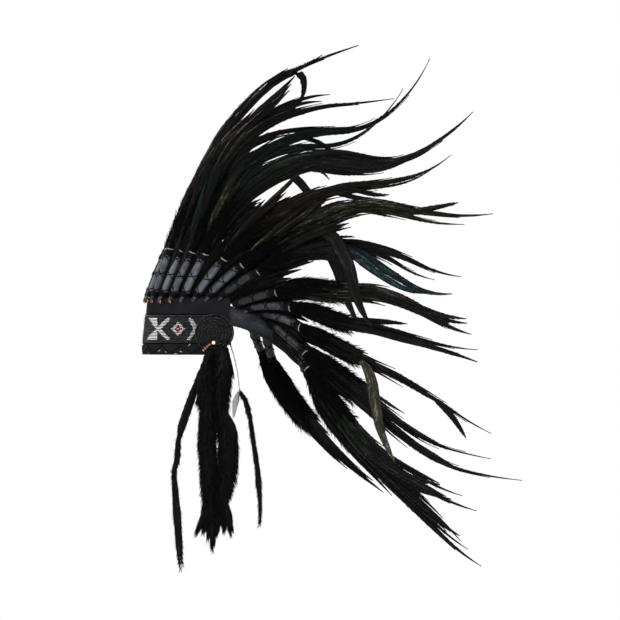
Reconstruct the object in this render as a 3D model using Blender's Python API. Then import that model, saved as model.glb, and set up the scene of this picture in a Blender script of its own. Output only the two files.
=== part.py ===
"""Feathered headdress on a beaded brow band, worn form, in metres.

The wearer faces -Y, +X is the wearer's left and +Z is up. The origin is the centre of the head
opening, level with the lower rim of the crown band. Ring angles are in degrees round the head:
0 is the middle of the brow, 90 the wearer's left temple and 180 the nape.
"""

import math
from collections import namedtuple

import bmesh
import bpy
from mathutils import Matrix, Vector

# Head opening and crown band
HEAD_LENGTH = 0.200
HEAD_WIDTH = 0.160
BAND_HEIGHT = 0.076
BAND_WALL = 0.002
BAND_LEAN = 0.0073
BAND_END_ANGLE = 99.0
SEAT_GAP = 0.0003

# Beaded brow panel
PANEL_HEIGHT = 0.040
PANEL_WALL = 0.0028
PANEL_RISE = 0.0145
PANEL_END_ANGLE = 88.0

# Nape strap
STRAP_HEIGHT = 0.026
STRAP_WALL = 0.0022
STRAP_TUCK_ANGLE = 10.0
STRAP_SHOULDER_TOP = 0.066
STRAP_NAPE_TOP = 0.020

# Rosettes, one at each temple
ROSETTE_RADIUS = 0.0255
ROSETTE_THICKNESS = 0.0045
ROSETTE_DOME = 0.0012
ROSETTE_SHOULDER = 0.95
ROSETTE_ANGLE = 87.0
ROSETTE_RISE = 0.029
BEAD_RADIUS = 0.0024
BEAD_DROP = 0.0135
STRING_RADIUS = 0.0016

# Feathers: a leather sleeve, then down, then the long vane
FEATHERS_PER_SIDE = 15
SLEEVE_LENGTH = 0.068
SLEEVE_DIAMETER = 0.0112
DOWN_LENGTH = 0.090
DOWN_WIDTH = 0.0235
DOWN_THICKNESS = 0.0110
FEATHER_LENGTH = 0.500
VANE_WIDTH = 0.0200
VANE_THICKNESS = 0.0030
SPLIT_WIDTH = 0.0090
SPLIT_THICKNESS = 0.0024
TIP_WIDTH = 0.0016
SHINGLE_ANGLE = 14.0
HANGING_HEADING = -33.0

# Fur and feather drops that hang from each rosette
FUR_LENGTH = 0.262
FUR_WIDTH = 0.0225
FUR_THICKNESS = 0.0135
FUR_LOCK_LENGTH = 0.040
DROP_LENGTH = 0.292
DROP_WIDTH = 0.0100
DROP_THICKNESS = 0.0024
TIE_WIDTH = 0.0060
TIE_THICKNESS = 0.0014

LEFT, RIGHT = 1, -1
SIDE_NAMES = {LEFT: "left", RIGHT: "right"}
RING_STEP_DEGREES = 6.6
ROUND_SIDES = 8
PLUME_SIDES = 6

# One row for each feather from the brow to the nape. Length is a share of FEATHER_LENGTH and width a
# share of VANE_WIDTH. The headings are taken at even steps from foot to tip, in degrees above the
# level line that runs to the back. Flare is how far the feather leans out sideways. Right_turn bows
# the wearer's right-hand feather: it is added at the foot, fades to nothing half-way up and is taken
# away at the tip. Right_length multiplies that feather's length.
Feather = namedtuple("Feather", "length headings flare width right_turn right_length")
FEATHERS = (
    Feather(0.92, (70, 66, 67, 58, 43, 22, 17), 0, 1.00, 0, 1.00),
    Feather(0.71, (69, 66, 62, 60, 50, 44, 46), 4, 0.95, -2, 0.97),
    Feather(0.73, (70, 71, 66, 54, 40, 28, 0), 8, 1.30, -1, 1.05),
    Feather(0.90, (67, 67, 62, 50, 20, 4, 8), 12, 0.80, 4, 0.90),
    Feather(1.02, (67, 64, 55, 26, 0, 42, 66), 16, 0.95, 5, 0.92),
    Feather(1.03, (65, 61, 44, 14, -12, 30, 46), 19, 1.35, 7, 0.95),
    Feather(0.85, (56, 49, 31, 25, 6, 12, 42), 22, 1.00, 7, 0.96),
    Feather(0.89, (48, 35, 25, 25, -10, -8, 8), 24, 1.10, 7, 0.95),
    Feather(0.76, (38, 29, 21, 2, -14, -28, -6), 28, 1.00, 6, 0.94),
    Feather(0.73, (22, 12, -9, 1, -20, -32, -12), 28, 1.00, 4, 1.05),
    Feather(0.70, (10, -5, -23, -8, -15, -14, -3), 28, 0.95, 0, 1.00),
    Feather(0.77, (-6, -30, -28, -25, -30, -35, -26), 27, 0.95, 0, 1.00),
    Feather(0.87, (-40, -43, -39, -41, -34, -12, -5), 25, 1.00, 6, 0.90),
    Feather(0.77, (-51, -60, -55, -48, -31, -30, -14), 22, 1.05, 2, 0.95),
    Feather(0.74, (-69, -62, -54, -44, -42, -41, -48), 17, 1.05, -1, 0.92),
    Feather(0.80, (-73, -65, -51, -45, -46, -45, -31), 10, 1.00, 1, 0.94),
)
# Two feathers on the wearer's right hang straight down from the strap, unlike their partners.
RIGHT_FEATHERS = {
    10: Feather(0.65, (-82, -66, -57, -52, -48, -39, -38), 16, 1.05, 0, 1.00),
    11: Feather(0.57, (-77, -76, -66, -50, -48, -40, -34), 14, 1.00, 0, 1.00),
}

# Quills that split away from a feather towards its tip. Leaves is the share of the feather's length
# where the split starts, and length and width are shares of FEATHER_LENGTH and SPLIT_WIDTH. Flare is
# added to the feather's own. Sides says which of the pair has it.
Split = namedtuple("Split", "feather sides leaves length headings flare width")
BOTH = (LEFT, RIGHT)
SPLITS = (
    Split(0, (LEFT,), 0.66, 0.19, (36, 24, -92, -102), 6, 1.1),
    Split(0, (LEFT,), 0.74, 0.14, (26, 26, 34), 3, 0.8),
    Split(2, BOTH, 0.50, 0.30, (53, 44, 43), 6, 1.2),
    Split(3, BOTH, 0.48, 0.24, (38, 14, -8), 7, 0.7),
    Split(4, BOTH, 0.56, 0.16, (-2, -34, -50), -4, 0.8),
    Split(5, (RIGHT,), 0.48, 0.18, (-24, -50, -54), 7, 1.5),
    Split(5, BOTH, 0.52, 0.26, (-4, -8, 20), 6, 1.3),
    Split(6, BOTH, 0.62, 0.14, (-6, -16, 6), 6, 0.9),
    Split(7, BOTH, 0.36, 0.42, (22, -60, -78, -54), 9, 1.9),
    Split(7, BOTH, 0.74, 0.14, (-4, 12, 14), 5, 0.9),
    Split(8, BOTH, 0.48, 0.42, (-4, -38, -30, 6), 7, 1.3),
    Split(9, BOTH, 0.66, 0.24, (-26, -20, -4), 5, 0.9),
    Split(10, (LEFT,), 0.44, 0.42, (-18, -14, -20), 5, 1.1),
    Split(11, (LEFT,), 0.42, 0.36, (-44, -86, -74, -58), 9, 1.3),
    Split(11, (LEFT,), 0.74, 0.16, (-38, -52, -60), 4, 1.1),
    Split(12, BOTH, 0.58, 0.20, (-36, -30, -28), 5, 1.0),
    Split(13, BOTH, 0.50, 0.30, (-46, -30, -24), 5, 1.1),
    Split(14, BOTH, 0.60, 0.22, (-40, -24, -10), 5, 1.0),
    Split(15, (LEFT,), 0.56, 0.26, (-42, -40, -30), 6, 1.0),
)

# Cross-sections up one feather. Length is a share of the named stretch, and width and thickness are
# shares of that stretch's own named sizes.
Section = namedtuple("Section", "length width thickness")
SLEEVE_SECTIONS = (
    Section(0.00, 0.72, 0.72),
    Section(0.06, 1.00, 1.00),
    Section(0.94, 0.94, 0.94),
)
DOWN_SECTIONS = (
    Section(0.05, 0.60, 0.88),
    Section(0.32, 1.00, 1.00),
    Section(0.70, 1.05, 0.80),
    Section(1.00, 1.00, 0.36),
)
VANE_SECTIONS = (
    Section(0.14, 1.16, 1.00),
    Section(0.28, 1.20, 1.00),
    Section(0.42, 1.10, 1.00),
    Section(0.56, 0.95, 1.00),
    Section(0.68, 0.76, 1.00),
    Section(0.79, 0.54, 0.90),
    Section(0.90, 0.34, 0.80),
    Section(1.00, 0.00, 0.45),
)
SPLIT_SECTIONS = (
    Section(0.00, 0.60, 1.00),
    Section(0.18, 0.95, 1.00),
    Section(0.36, 1.00, 1.00),
    Section(0.52, 0.92, 1.00),
    Section(0.68, 0.76, 1.00),
    Section(0.84, 0.50, 0.90),
    Section(1.00, 0.00, 0.50),
)

# Fur strips, from the bead down. Down is a share of FUR_LENGTH, back moves the strip's middle towards
# the nape and width is its width, both as shares of FUR_WIDTH.
FurSection = namedtuple("FurSection", "down back width thickness")
FRONT_FUR = (
    FurSection(0.00, -0.14, 0.32, 0.45),
    FurSection(0.08, -0.34, 0.62, 0.80),
    FurSection(0.22, -0.42, 0.80, 1.00),
    FurSection(0.36, -0.44, 0.84, 1.00),
    FurSection(0.50, -0.42, 0.84, 1.00),
    FurSection(0.66, -0.34, 0.82, 1.00),
    FurSection(0.80, -0.26, 0.76, 0.90),
    FurSection(0.90, -0.36, 0.82, 0.80),
)
BACK_FUR = (
    FurSection(0.00, 0.36, 0.66, 0.45),
    FurSection(0.08, 0.52, 0.92, 0.80),
    FurSection(0.22, 0.52, 0.88, 1.00),
    FurSection(0.34, 0.44, 0.78, 1.00),
    FurSection(0.46, 0.62, 0.92, 1.00),
    FurSection(0.62, 0.66, 0.94, 1.00),
    FurSection(0.76, 0.56, 0.82, 0.90),
    FurSection(0.88, 0.58, 0.90, 0.80),
)
# Locks at the foot of a fur strip: back as a share of FUR_WIDTH, length and width as shares of
# FUR_LOCK_LENGTH and FUR_WIDTH, lean in degrees towards the nape.
Lock = namedtuple("Lock", "back length width lean")
FRONT_LOCKS = (
    Lock(-0.54, 0.72, 0.34, -14),
    Lock(-0.30, 0.80, 0.36, -4),
    Lock(-0.16, 1.15, 0.40, 2),
)
BACK_LOCKS = (Lock(0.38, 0.70, 0.34, 3), Lock(0.74, 0.62, 0.40, 10))

# Feather drops, from the top down: down as a share of DROP_LENGTH, back as a share of DROP_LENGTH from
# the rosette's middle, width as a share of DROP_WIDTH.
DropSection = namedtuple("DropSection", "down back width")
FRONT_DROP = (
    DropSection(0.0385, -0.0475, 0.35),
    DropSection(0.085, -0.060, 0.60),
    DropSection(0.165, -0.084, 1.00),
    DropSection(0.250, -0.135, 1.00),
    DropSection(0.315, -0.168, 1.05),
    DropSection(0.450, -0.162, 0.80),
    DropSection(0.530, -0.188, 0.45),
    DropSection(0.640, -0.172, 0.85),
    DropSection(0.780, -0.165, 0.95),
    DropSection(0.900, -0.160, 0.80),
    DropSection(1.000, -0.154, 0.10),
)
BACK_DROP = (
    DropSection(0.170, 0.108, 0.20),
    DropSection(0.235, 0.136, 0.62),
    DropSection(0.320, 0.158, 0.50),
    DropSection(0.450, 0.186, 0.60),
    DropSection(0.540, 0.197, 0.66),
    DropSection(0.640, 0.204, 0.80),
    DropSection(0.730, 0.207, 0.45),
    DropSection(0.770, 0.206, 0.12),
)
# The suede tie of the rear drop: out from behind the rosette, up to its knot, and its loose end.
TIE_RUN = (
    DropSection(0.010, 0.066, 0.80),
    DropSection(0.080, 0.086, 1.00),
    DropSection(0.150, 0.104, 1.00),
    DropSection(0.164, 0.107, 0.80),
)
TIE_END = (
    DropSection(0.152, 0.104, 0.40),
    DropSection(0.190, 0.098, 1.00),
    DropSection(0.230, 0.090, 1.05),
    DropSection(0.268, 0.083, 0.15),
)

# Colours as linear red, green and blue, with roughness
Finish = namedtuple("Finish", "colour roughness metallic")
FINISHES = {
    "black_felt": Finish((0.012, 0.011, 0.014), 0.85, 0.0),
    "black_glass_beads": Finish((0.006, 0.006, 0.007), 0.25, 0.0),
    "grey_leather": Finish((0.050, 0.054, 0.064), 0.55, 0.0),
    "feather": Finish((0.010, 0.011, 0.009), 0.45, 0.0),
    "black_fur": Finish((0.006, 0.006, 0.007), 0.80, 0.0),
    "yellow_bead": Finish((0.80, 0.62, 0.20), 0.25, 0.0),
    "brown_beads": Finish((0.22, 0.08, 0.05), 0.35, 0.0),
    "pale_suede": Finish((0.45, 0.44, 0.42), 0.80, 0.0),
}


def clear_scene():
    """Remove every object that the scene opens with."""
    for thing in list(bpy.data.objects):
        bpy.data.objects.remove(thing, do_unlink=True)


def make_materials():
    """Return one Principled material for each finish, by name."""
    made = {}
    for name, finish in FINISHES.items():
        material = bpy.data.materials.new(name)
        material.use_nodes = True
        shader = material.node_tree.nodes["Principled BSDF"]
        shader.inputs["Base Color"].default_value = (*finish.colour, 1.0)
        shader.inputs["Roughness"].default_value = finish.roughness
        shader.inputs["Metallic"].default_value = finish.metallic
        made[name] = material
    return made


def add_object(name, shape, material, sharp_degrees=40.0):
    """Turn a bmesh into a named object whose round faces are shaded smooth."""
    bmesh.ops.recalc_face_normals(shape, faces=shape.faces)
    mesh = bpy.data.meshes.new(name)
    shape.to_mesh(mesh)
    shape.free()
    mesh.shade_smooth()
    mesh.set_sharp_from_angle(angle=math.radians(sharp_degrees))
    mesh.materials.append(material)
    thing = bpy.data.objects.new(name, mesh)
    bpy.context.scene.collection.objects.link(thing)
    return thing


def loft(rings):
    """Skin closed rings of equally many points into one capped body of flat triangles."""
    shape = bmesh.new()
    loops = [[shape.verts.new(point) for point in ring] for ring in rings]
    count = len(loops[0])
    for below, above in zip(loops, loops[1:]):
        for i in range(count):
            j = (i + 1) % count
            shape.faces.new((below[i], below[j], above[j], above[i]))
    shape.faces.new(loops[0][::-1])
    shape.faces.new(loops[-1])
    bmesh.ops.triangulate(shape, faces=shape.faces[:])
    return shape


def fuse(thing, parts):
    """Join closed bodies into thing with exact unions, then drop them."""
    for part in parts:
        union = thing.modifiers.new("union", "BOOLEAN")
        union.operation = "UNION"
        union.solver = "EXACT"
        union.use_self = True
        union.object = part
    graph = bpy.context.evaluated_depsgraph_get()
    joined = bpy.data.meshes.new_from_object(thing.evaluated_get(graph))
    thing.modifiers.clear()
    thing.data = joined
    for part in parts:
        bpy.data.objects.remove(part, do_unlink=True)
    return thing


def lean_at(height):
    """How far the band's wall has leaned in at this height."""
    return BAND_LEAN * height / BAND_HEIGHT


def ring_point(angle, height, offset):
    """A point on the band's outer face, moved out by offset, at this ring angle and height."""
    inward = lean_at(height) - BAND_WALL - offset
    along = HEAD_LENGTH / 2 - inward
    across = HEAD_WIDTH / 2 - inward
    turn = math.radians(angle)
    return Vector((across * math.sin(turn), -along * math.cos(turn), height))


def ring_normal(angle, height=0.0):
    """The level direction that points straight out of the band at this ring angle."""
    step = 0.5
    along = ring_point(angle + step, height, 0.0) - ring_point(angle - step, height, 0.0)
    return along.cross(Vector((0, 0, 1))).normalized()


def ring_angles(first, last):
    """Evenly spaced ring angles from first to last, close enough together for a smooth wall."""
    steps = max(2, math.ceil(abs(last - first) / RING_STEP_DEGREES))
    return [first + (last - first) * i / steps for i in range(steps + 1)]


def strap_top(angle):
    """Height of the nape strap's upper edge at this ring angle."""
    fall = math.cos(math.radians(angle)) ** 2
    return STRAP_SHOULDER_TOP - (STRAP_SHOULDER_TOP - STRAP_NAPE_TOP) * fall


def wall_ring(angle, low, high, inner, outer):
    """The four corners of a wall's section at one ring angle."""
    return (
        ring_point(angle, low, inner),
        ring_point(angle, low, outer),
        ring_point(angle, high, outer),
        ring_point(angle, high, inner),
    )


def crown_band(materials):
    """The stiff felt band over the brow and temples, leaning in towards its top."""
    rings = [
        wall_ring(angle, 0.0, BAND_HEIGHT, -BAND_WALL, 0.0)
        for angle in ring_angles(-BAND_END_ANGLE, BAND_END_ANGLE)
    ]
    return add_object("crown_band", loft(rings), materials["black_felt"])


def beaded_browband(materials):
    """The beadwork panel on the front of the band, as long as the rosettes cover."""
    low, high = PANEL_RISE, PANEL_RISE + PANEL_HEIGHT
    outer = SEAT_GAP + PANEL_WALL
    rings = [
        wall_ring(angle, low, high, SEAT_GAP, outer)
        for angle in ring_angles(-PANEL_END_ANGLE, PANEL_END_ANGLE)
    ]
    return add_object("beaded_browband", loft(rings), materials["black_glass_beads"])


def nape_strap(materials):
    """The leather strap round the nape, its ends tucked inside the crown band."""
    first = BAND_END_ANGLE - STRAP_TUCK_ANGLE
    outer = -BAND_WALL - SEAT_GAP
    inner = outer - STRAP_WALL
    rings = []
    for angle in ring_angles(first, 360.0 - first):
        top = strap_top(angle)
        rings.append(wall_ring(angle, top - STRAP_HEIGHT, top, inner, outer))
    return add_object("nape_strap", loft(rings), materials["grey_leather"])


def section_ring(centre, along, face, width, thickness, sides):
    """A flattened ring of points round centre, broad across the face direction."""
    normal = (face - along * face.dot(along)).normalized()
    across = along.cross(normal)
    ring = []
    for i in range(sides):
        turn = 2 * math.pi * i / sides
        ring.append(
            centre
            + across * (math.cos(turn) * width / 2)
            + normal * (math.sin(turn) * thickness / 2)
        )
    return ring


def heading_at(headings, share):
    """The heading part of the way up a feather, read between its evenly spaced headings."""
    place = min(max(share, 0.0), 1.0) * (len(headings) - 1)
    low = min(int(place), len(headings) - 2)
    return headings[low] + (headings[low + 1] - headings[low]) * (place - low)


def direction(side, heading, flare):
    """The unit direction that rises by heading and leans out by flare on this side."""
    rise, out = math.radians(heading), math.radians(flare)
    return Vector((side * math.sin(out), math.cos(out) * math.cos(rise), math.cos(out) * math.sin(rise)))


class Path:
    """A smooth curve that starts at base and turns through its headings."""

    STEPS = 60

    def __init__(self, base, side, length, headings, flare):
        """Walk the curve once and keep its points."""
        self.side, self.length, self.headings, self.flare = side, length, headings, flare
        self.points = [base]
        for i in range(self.STEPS):
            ahead = self.along((i + 0.5) / self.STEPS)
            self.points.append(self.points[-1] + ahead * (length / self.STEPS))

    def along(self, share):
        """The direction of travel at this share of the length."""
        return direction(self.side, heading_at(self.headings, share), self.flare)

    def at(self, share):
        """The point at this share of the length."""
        place = min(max(share, 0.0), 1.0) * self.STEPS
        low = min(int(place), self.STEPS - 1)
        return self.points[low].lerp(self.points[low + 1], place - low)


def station_angles():
    """Ring angles of the feather feet on one side, evenly spaced along the carrying edge."""
    steps = 720
    plan = [ring_point(180.0 * i / steps, BAND_HEIGHT, -BAND_WALL / 2) for i in range(steps + 1)]
    reach = [0.0]
    for before, after in zip(plan, plan[1:]):
        reach.append(reach[-1] + (after - before).to_2d().length)
    pitch = reach[-1] / (FEATHERS_PER_SIDE + 0.5)
    angles = []
    for number in range(FEATHERS_PER_SIDE + 1):
        place = next(i for i, value in enumerate(reach) if value >= number * pitch)
        angles.append(180.0 * place / steps)
    return angles


def face_direction(angle, side):
    """Where a vane's broad face looks: forward at the brow, turning quickly out to the side."""
    turn = math.radians(min(90.0, angle * 1.35))
    return Vector((side * math.sin(turn), -math.cos(turn), 0.0))


def turned(face, along, degrees):
    """The face direction turned about the feather's own line."""
    return Matrix.Rotation(math.radians(degrees), 3, along) @ face


def feather_sections(path, width_share, sleeve, down):
    """Distances, widths and thicknesses up the feather, from its sleeve's foot to its tip."""
    rows = []
    for row in SLEEVE_SECTIONS:
        rows.append((row.length * sleeve, row.width * SLEEVE_DIAMETER, row.thickness * SLEEVE_DIAMETER))
    for row in DOWN_SECTIONS:
        place = sleeve + row.length * down
        rows.append((place, row.width * DOWN_WIDTH, row.thickness * DOWN_THICKNESS))
    vane = path.length - sleeve - down
    width = VANE_WIDTH * width_share
    for row in VANE_SECTIONS:
        place = sleeve + down + row.length * vane
        rows.append((place, TIP_WIDTH + row.width * (width - TIP_WIDTH), row.thickness * VANE_THICKNESS))
    return rows


def split_body(split, row_path, side, face, flare):
    """One quill that leaves the feather's vane, as a slim strip."""
    start = row_path.at(split.leaves)
    path = Path(start, side, split.length * FEATHER_LENGTH, split.headings, flare + split.flare)
    width = SPLIT_WIDTH * split.width
    rings = []
    for row in SPLIT_SECTIONS:
        across = TIP_WIDTH + row.width * (width - TIP_WIDTH)
        depth = row.thickness * SPLIT_THICKNESS
        along = path.along(row.length)
        looks = turned(face, along, side * SHINGLE_ANGLE)
        rings.append(section_ring(path.at(row.length), along, looks, across, depth, 4))
    return loft(rings)


def carrying_wall(angle):
    """The wall under a ring angle: its outer face's offset, its thickness and its upper edge."""
    if abs(angle) <= BAND_END_ANGLE:
        return 0.0, BAND_WALL, BAND_HEIGHT
    return -(BAND_WALL + SEAT_GAP), STRAP_WALL, strap_top(angle)


def ring_place(point):
    """A point's ring angle, and how far it lies outside the band's outer face."""
    inward = lean_at(point.z) - BAND_WALL
    turn = math.atan2(point.x / (HEAD_WIDTH / 2 - inward), -point.y / (HEAD_LENGTH / 2 - inward))
    angle = math.degrees(turn)
    face = ring_point(angle, point.z, 0.0)
    return angle, (point - face).dot(ring_normal(angle, point.z))


def sleeve_samples(rings):
    """Points all over the lower part of a sleeve's skin."""
    points = []
    for below, above in zip(rings[:2], rings[1:3]):
        for i, corner in enumerate(below):
            following = (i + 1) % len(below)
            for step in range(9):
                share = 0.4 * step / 8 if above is rings[2] else step / 8
                here = corner.lerp(above[i], share)
                there = below[following].lerp(above[following], share)
                points.extend(here.lerp(there, part / 4) for part in range(4))
    return points


def standing_shift(rings):
    """How far a sleeve rises for its foot to rest on the upper edge of the wall."""
    shift = -SLEEVE_DIAMETER
    for point in sleeve_samples(rings):
        angle, offset = ring_place(point)
        outside, wall, top = carrying_wall(angle)
        if outside - wall - SEAT_GAP <= offset <= outside + SEAT_GAP:
            shift = max(shift, top + SEAT_GAP - point.z)
    return Vector((0, 0, shift))


def hanging_shift(rings, out):
    """How far a sleeve moves out for its foot to rest against the outer face of the wall."""
    shift = -SLEEVE_DIAMETER
    for point in sleeve_samples(rings):
        angle, offset = ring_place(point)
        outside, wall, top = carrying_wall(angle)
        if top - STRAP_HEIGHT - SEAT_GAP <= point.z <= top + SEAT_GAP:
            shift = max(shift, outside + SEAT_GAP - offset)
    return out * shift


def bowed(headings, turn):
    """Headings turned up at the foot and back by as much at the tip."""
    last = len(headings) - 1
    return [value + turn * (1 - 2 * i / last) for i, value in enumerate(headings)]


def feather(number, side, angle, materials):
    """One feather: sleeve, down and vane in one body, with its split quills fused on."""
    row = FEATHERS[number]
    turn, stretch = 0.0, 1.0
    if side == RIGHT:
        row = RIGHT_FEATHERS.get(number, row)
        turn, stretch = row.right_turn, row.right_length
    headings = bowed(row.headings, turn)
    length = row.length * FEATHER_LENGTH * stretch
    outside, wall, top = carrying_wall(angle)
    foot = ring_point(side * angle, top, outside - wall / 2)
    path = Path(foot, side, length, headings, row.flare)
    face = face_direction(angle, side)
    rings = []
    for place, width, thickness in feather_sections(path, row.width, SLEEVE_LENGTH, DOWN_LENGTH):
        share = place / length
        along = path.along(share)
        looks = turned(face, along, side * SHINGLE_ANGLE)
        rings.append(section_ring(path.at(share), along, looks, width, thickness, PLUME_SIDES))
    if headings[0] < HANGING_HEADING:
        shift = hanging_shift(rings, ring_normal(side * angle))
    else:
        shift = standing_shift(rings)
    rings = [[point + shift for point in ring] for ring in rings]
    path.points = [point + shift for point in path.points]
    label = "feather_centre" if number == 0 else f"feather_{SIDE_NAMES[side]}_{number:02d}"
    thing = add_object(label, loft(rings), materials["feather"])
    splits = [
        add_object(f"{label}_split", split_body(split, path, side, face, row.flare), materials["feather"])
        for split in SPLITS
        if split.feather == number and side in split.sides
    ]
    return fuse(thing, splits) if splits else thing


class RosetteSeat:
    """Where one rosette sits: its middle, its outward direction, and the way down its face."""

    def __init__(self, side):
        """Place the seat clear of the beadwork that it covers."""
        angle = side * ROSETTE_ANGLE
        level = ring_normal(angle)
        tilt = math.atan2(BAND_LEAN, BAND_HEIGHT)
        self.out = (level * math.cos(tilt) + Vector((0, 0, math.sin(tilt)))).normalized()
        self.back = Vector((0, 0, 1)).cross(self.out).normalized() * side
        self.down = -self.out.cross(self.back).normalized() * side
        lift = PANEL_WALL + 2 * SEAT_GAP
        self.middle = ring_point(angle, ROSETTE_RISE, lift)
        self.side = side

    def point(self, back, down, out):
        """A point measured on the rosette's own face directions from the middle of its rear face."""
        return self.middle + self.back * back + self.down * down + self.out * out


def turned_body(profile, sides, to_world):
    """A round body from (radius, height) pairs, placed by to_world."""
    rings = []
    for radius, height in profile:
        ring = []
        for i in range(sides):
            turn = 2 * math.pi * i / sides
            ring.append(to_world(radius * math.cos(turn), radius * math.sin(turn), height))
        rings.append(ring)
    return loft(rings)


def rosette(side, materials):
    """A shallow domed disc of coiled beadwork."""
    seat = RosetteSeat(side)
    rim = ROSETTE_THICKNESS - ROSETTE_DOME
    profile = (
        (ROSETTE_RADIUS * 0.97, 0.0),
        (ROSETTE_RADIUS, rim * 0.3),
        (ROSETTE_RADIUS, rim * 0.7),
        (ROSETTE_RADIUS * ROSETTE_SHOULDER, rim),
        (ROSETTE_RADIUS * 0.50, rim + ROSETTE_DOME * 0.75),
        (ROSETTE_RADIUS * 0.08, ROSETTE_THICKNESS),
    )
    body = turned_body(profile, 28, seat.point)
    return add_object(f"rosette_{SIDE_NAMES[side]}", body, materials["black_glass_beads"])


def hang_height():
    """Height of the bead that the drops hang from."""
    return ROSETTE_RISE - BEAD_DROP


def bead(side, materials):
    """The round bead on the rosette's face that the drops hang from."""
    seat = RosetteSeat(side)
    lift = ROSETTE_THICKNESS + SEAT_GAP + BEAD_RADIUS
    rings = 6
    profile = []
    for i in range(1, rings):
        turn = math.pi * i / rings
        profile.append((BEAD_RADIUS * math.sin(turn), lift - BEAD_RADIUS * math.cos(turn)))
    body = turned_body(profile, 12, lambda u, v, w: seat.point(u, v + BEAD_DROP, w))
    return add_object(f"bead_{SIDE_NAMES[side]}", body, materials["yellow_bead"])


def bead_string(side, materials):
    """The short string of small beads from the round bead to the front feather drop."""
    seat = RosetteSeat(side)
    out = ROSETTE_THICKNESS + SEAT_GAP + STRING_RADIUS
    start_back, start_down = -BEAD_RADIUS - STRING_RADIUS * 0.9, BEAD_DROP + STRING_RADIUS
    end_back, end_down = -ROSETTE_RADIUS * 0.56, BEAD_DROP + ROSETTE_RADIUS * 0.42
    rings = []
    pitches = 8
    for i in range(pitches + 1):
        share = i / pitches
        swell = 1.0 if i % 2 else 0.72
        centre = seat.point(
            start_back + (end_back - start_back) * share,
            start_down + (end_down - start_down) * share ** 1.2,
            out,
        )
        along = (
            seat.back * (end_back - start_back) + seat.down * (end_down - start_down)
        ).normalized()
        size = 2 * STRING_RADIUS * swell
        rings.append(section_ring(centre, along, seat.out, size, size, ROUND_SIDES))
    return add_object(f"bead_string_{SIDE_NAMES[side]}", loft(rings), materials["brown_beads"])


def drop_plane(side):
    """How far out the hanging pieces' inner face lies, clear of the rosette and the bead."""
    seat = RosetteSeat(side)
    rim = seat.point(0.0, ROSETTE_RADIUS * ROSETTE_SHOULDER, ROSETTE_THICKNESS - ROSETTE_DOME)
    return abs(rim.x) + SEAT_GAP


def hanging_ring(side, x, y, z, width, thickness, sides):
    """A flat ring of points for a strip that hangs straight down."""
    centre = Vector((side * x, y, z))
    return section_ring(centre, Vector((0, 0, -1)), Vector((side, 0, 0)), width, thickness, sides)


def rosette_back():
    """How far behind the ring's middle the rosettes sit."""
    return RosetteSeat(LEFT).middle.y


def fur_strip(label, side, rows, locks, materials):
    """One hanging fur strip with its pointed locks fused to its foot."""
    x = drop_plane(side) + FUR_THICKNESS / 2
    top = hang_height() - 2 * BEAD_RADIUS - STRING_RADIUS
    middle = rosette_back()
    rings = []
    for row in rows:
        depth = row.thickness * FUR_THICKNESS
        rings.append(
            hanging_ring(
                side,
                x - (FUR_THICKNESS - depth) / 2,
                middle + row.back * FUR_WIDTH,
                top - row.down * FUR_LENGTH,
                row.width * FUR_WIDTH,
                depth,
                ROUND_SIDES,
            )
        )
    thing = add_object(f"{label}_{SIDE_NAMES[side]}", loft(rings), materials["black_fur"])
    foot = top - rows[-1].down * FUR_LENGTH
    points = []
    for lock in locks:
        lean = math.radians(lock.lean)
        along = Vector((0, math.sin(lean), -math.cos(lean)))
        start = Vector((side * x, middle + lock.back * FUR_WIDTH, foot)) - along * FUR_LOCK_LENGTH * 0.3
        body = []
        for share, swell in ((0.0, 0.7), (0.35, 1.0), (0.7, 0.6), (1.0, 0.08)):
            centre = start + along * (share * FUR_LOCK_LENGTH * (0.3 + lock.length))
            width = swell * lock.width * FUR_WIDTH
            thickness = swell * FUR_THICKNESS * 0.55
            body.append(section_ring(centre, along, Vector((side, 0, 0)), width, thickness, 6))
        points.append(add_object(f"{label}_lock", loft(body), materials["black_fur"]))
    return fuse(thing, points)


def strip_body(side, rows, x, unit_width, thickness):
    """A thin hanging strip that follows its rows of places."""
    middle = rosette_back()
    top = hang_height()
    places = [
        Vector((side * x, middle + row.back * DROP_LENGTH, top - row.down * DROP_LENGTH)) for row in rows
    ]
    rings = []
    for i, row in enumerate(rows):
        ahead = places[min(i + 1, len(rows) - 1)] - places[max(i - 1, 0)]
        width = row.width * unit_width
        rings.append(
            section_ring(places[i], ahead.normalized(), Vector((side, 0, 0)), width, thickness, 6)
        )
    return loft(rings)


def feather_drops(side, materials):
    """The two slim stripped feathers that hang in front of and behind the fur."""
    name = SIDE_NAMES[side]
    x = drop_plane(side) + DROP_THICKNESS / 2 + SEAT_GAP
    front = strip_body(side, FRONT_DROP, x, DROP_WIDTH, DROP_THICKNESS)
    add_object(f"feather_drop_front_{name}", front, materials["feather"])
    rear_x = x - DROP_THICKNESS - TIE_THICKNESS
    rear = strip_body(side, BACK_DROP, rear_x, DROP_WIDTH, DROP_THICKNESS)
    add_object(f"feather_drop_back_{name}", rear, materials["feather"])
    tie_x = rear_x + (DROP_THICKNESS + TIE_THICKNESS) / 2 + SEAT_GAP
    run = strip_body(side, TIE_RUN, tie_x, TIE_WIDTH, TIE_THICKNESS)
    tie = add_object(f"drop_tie_{name}", run, materials["pale_suede"])
    end = strip_body(side, TIE_END, tie_x, TIE_WIDTH, TIE_THICKNESS * 0.8)
    fuse(tie, [add_object("tie_end", end, materials["pale_suede"])])


def temple_drops(side, materials):
    """Everything that hangs from one rosette."""
    rosette(side, materials)
    bead(side, materials)
    bead_string(side, materials)
    fur_strip("fur_drop_front", side, FRONT_FUR, FRONT_LOCKS, materials)
    fur_strip("fur_drop_back", side, BACK_FUR, BACK_LOCKS, materials)
    feather_drops(side, materials)


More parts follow.
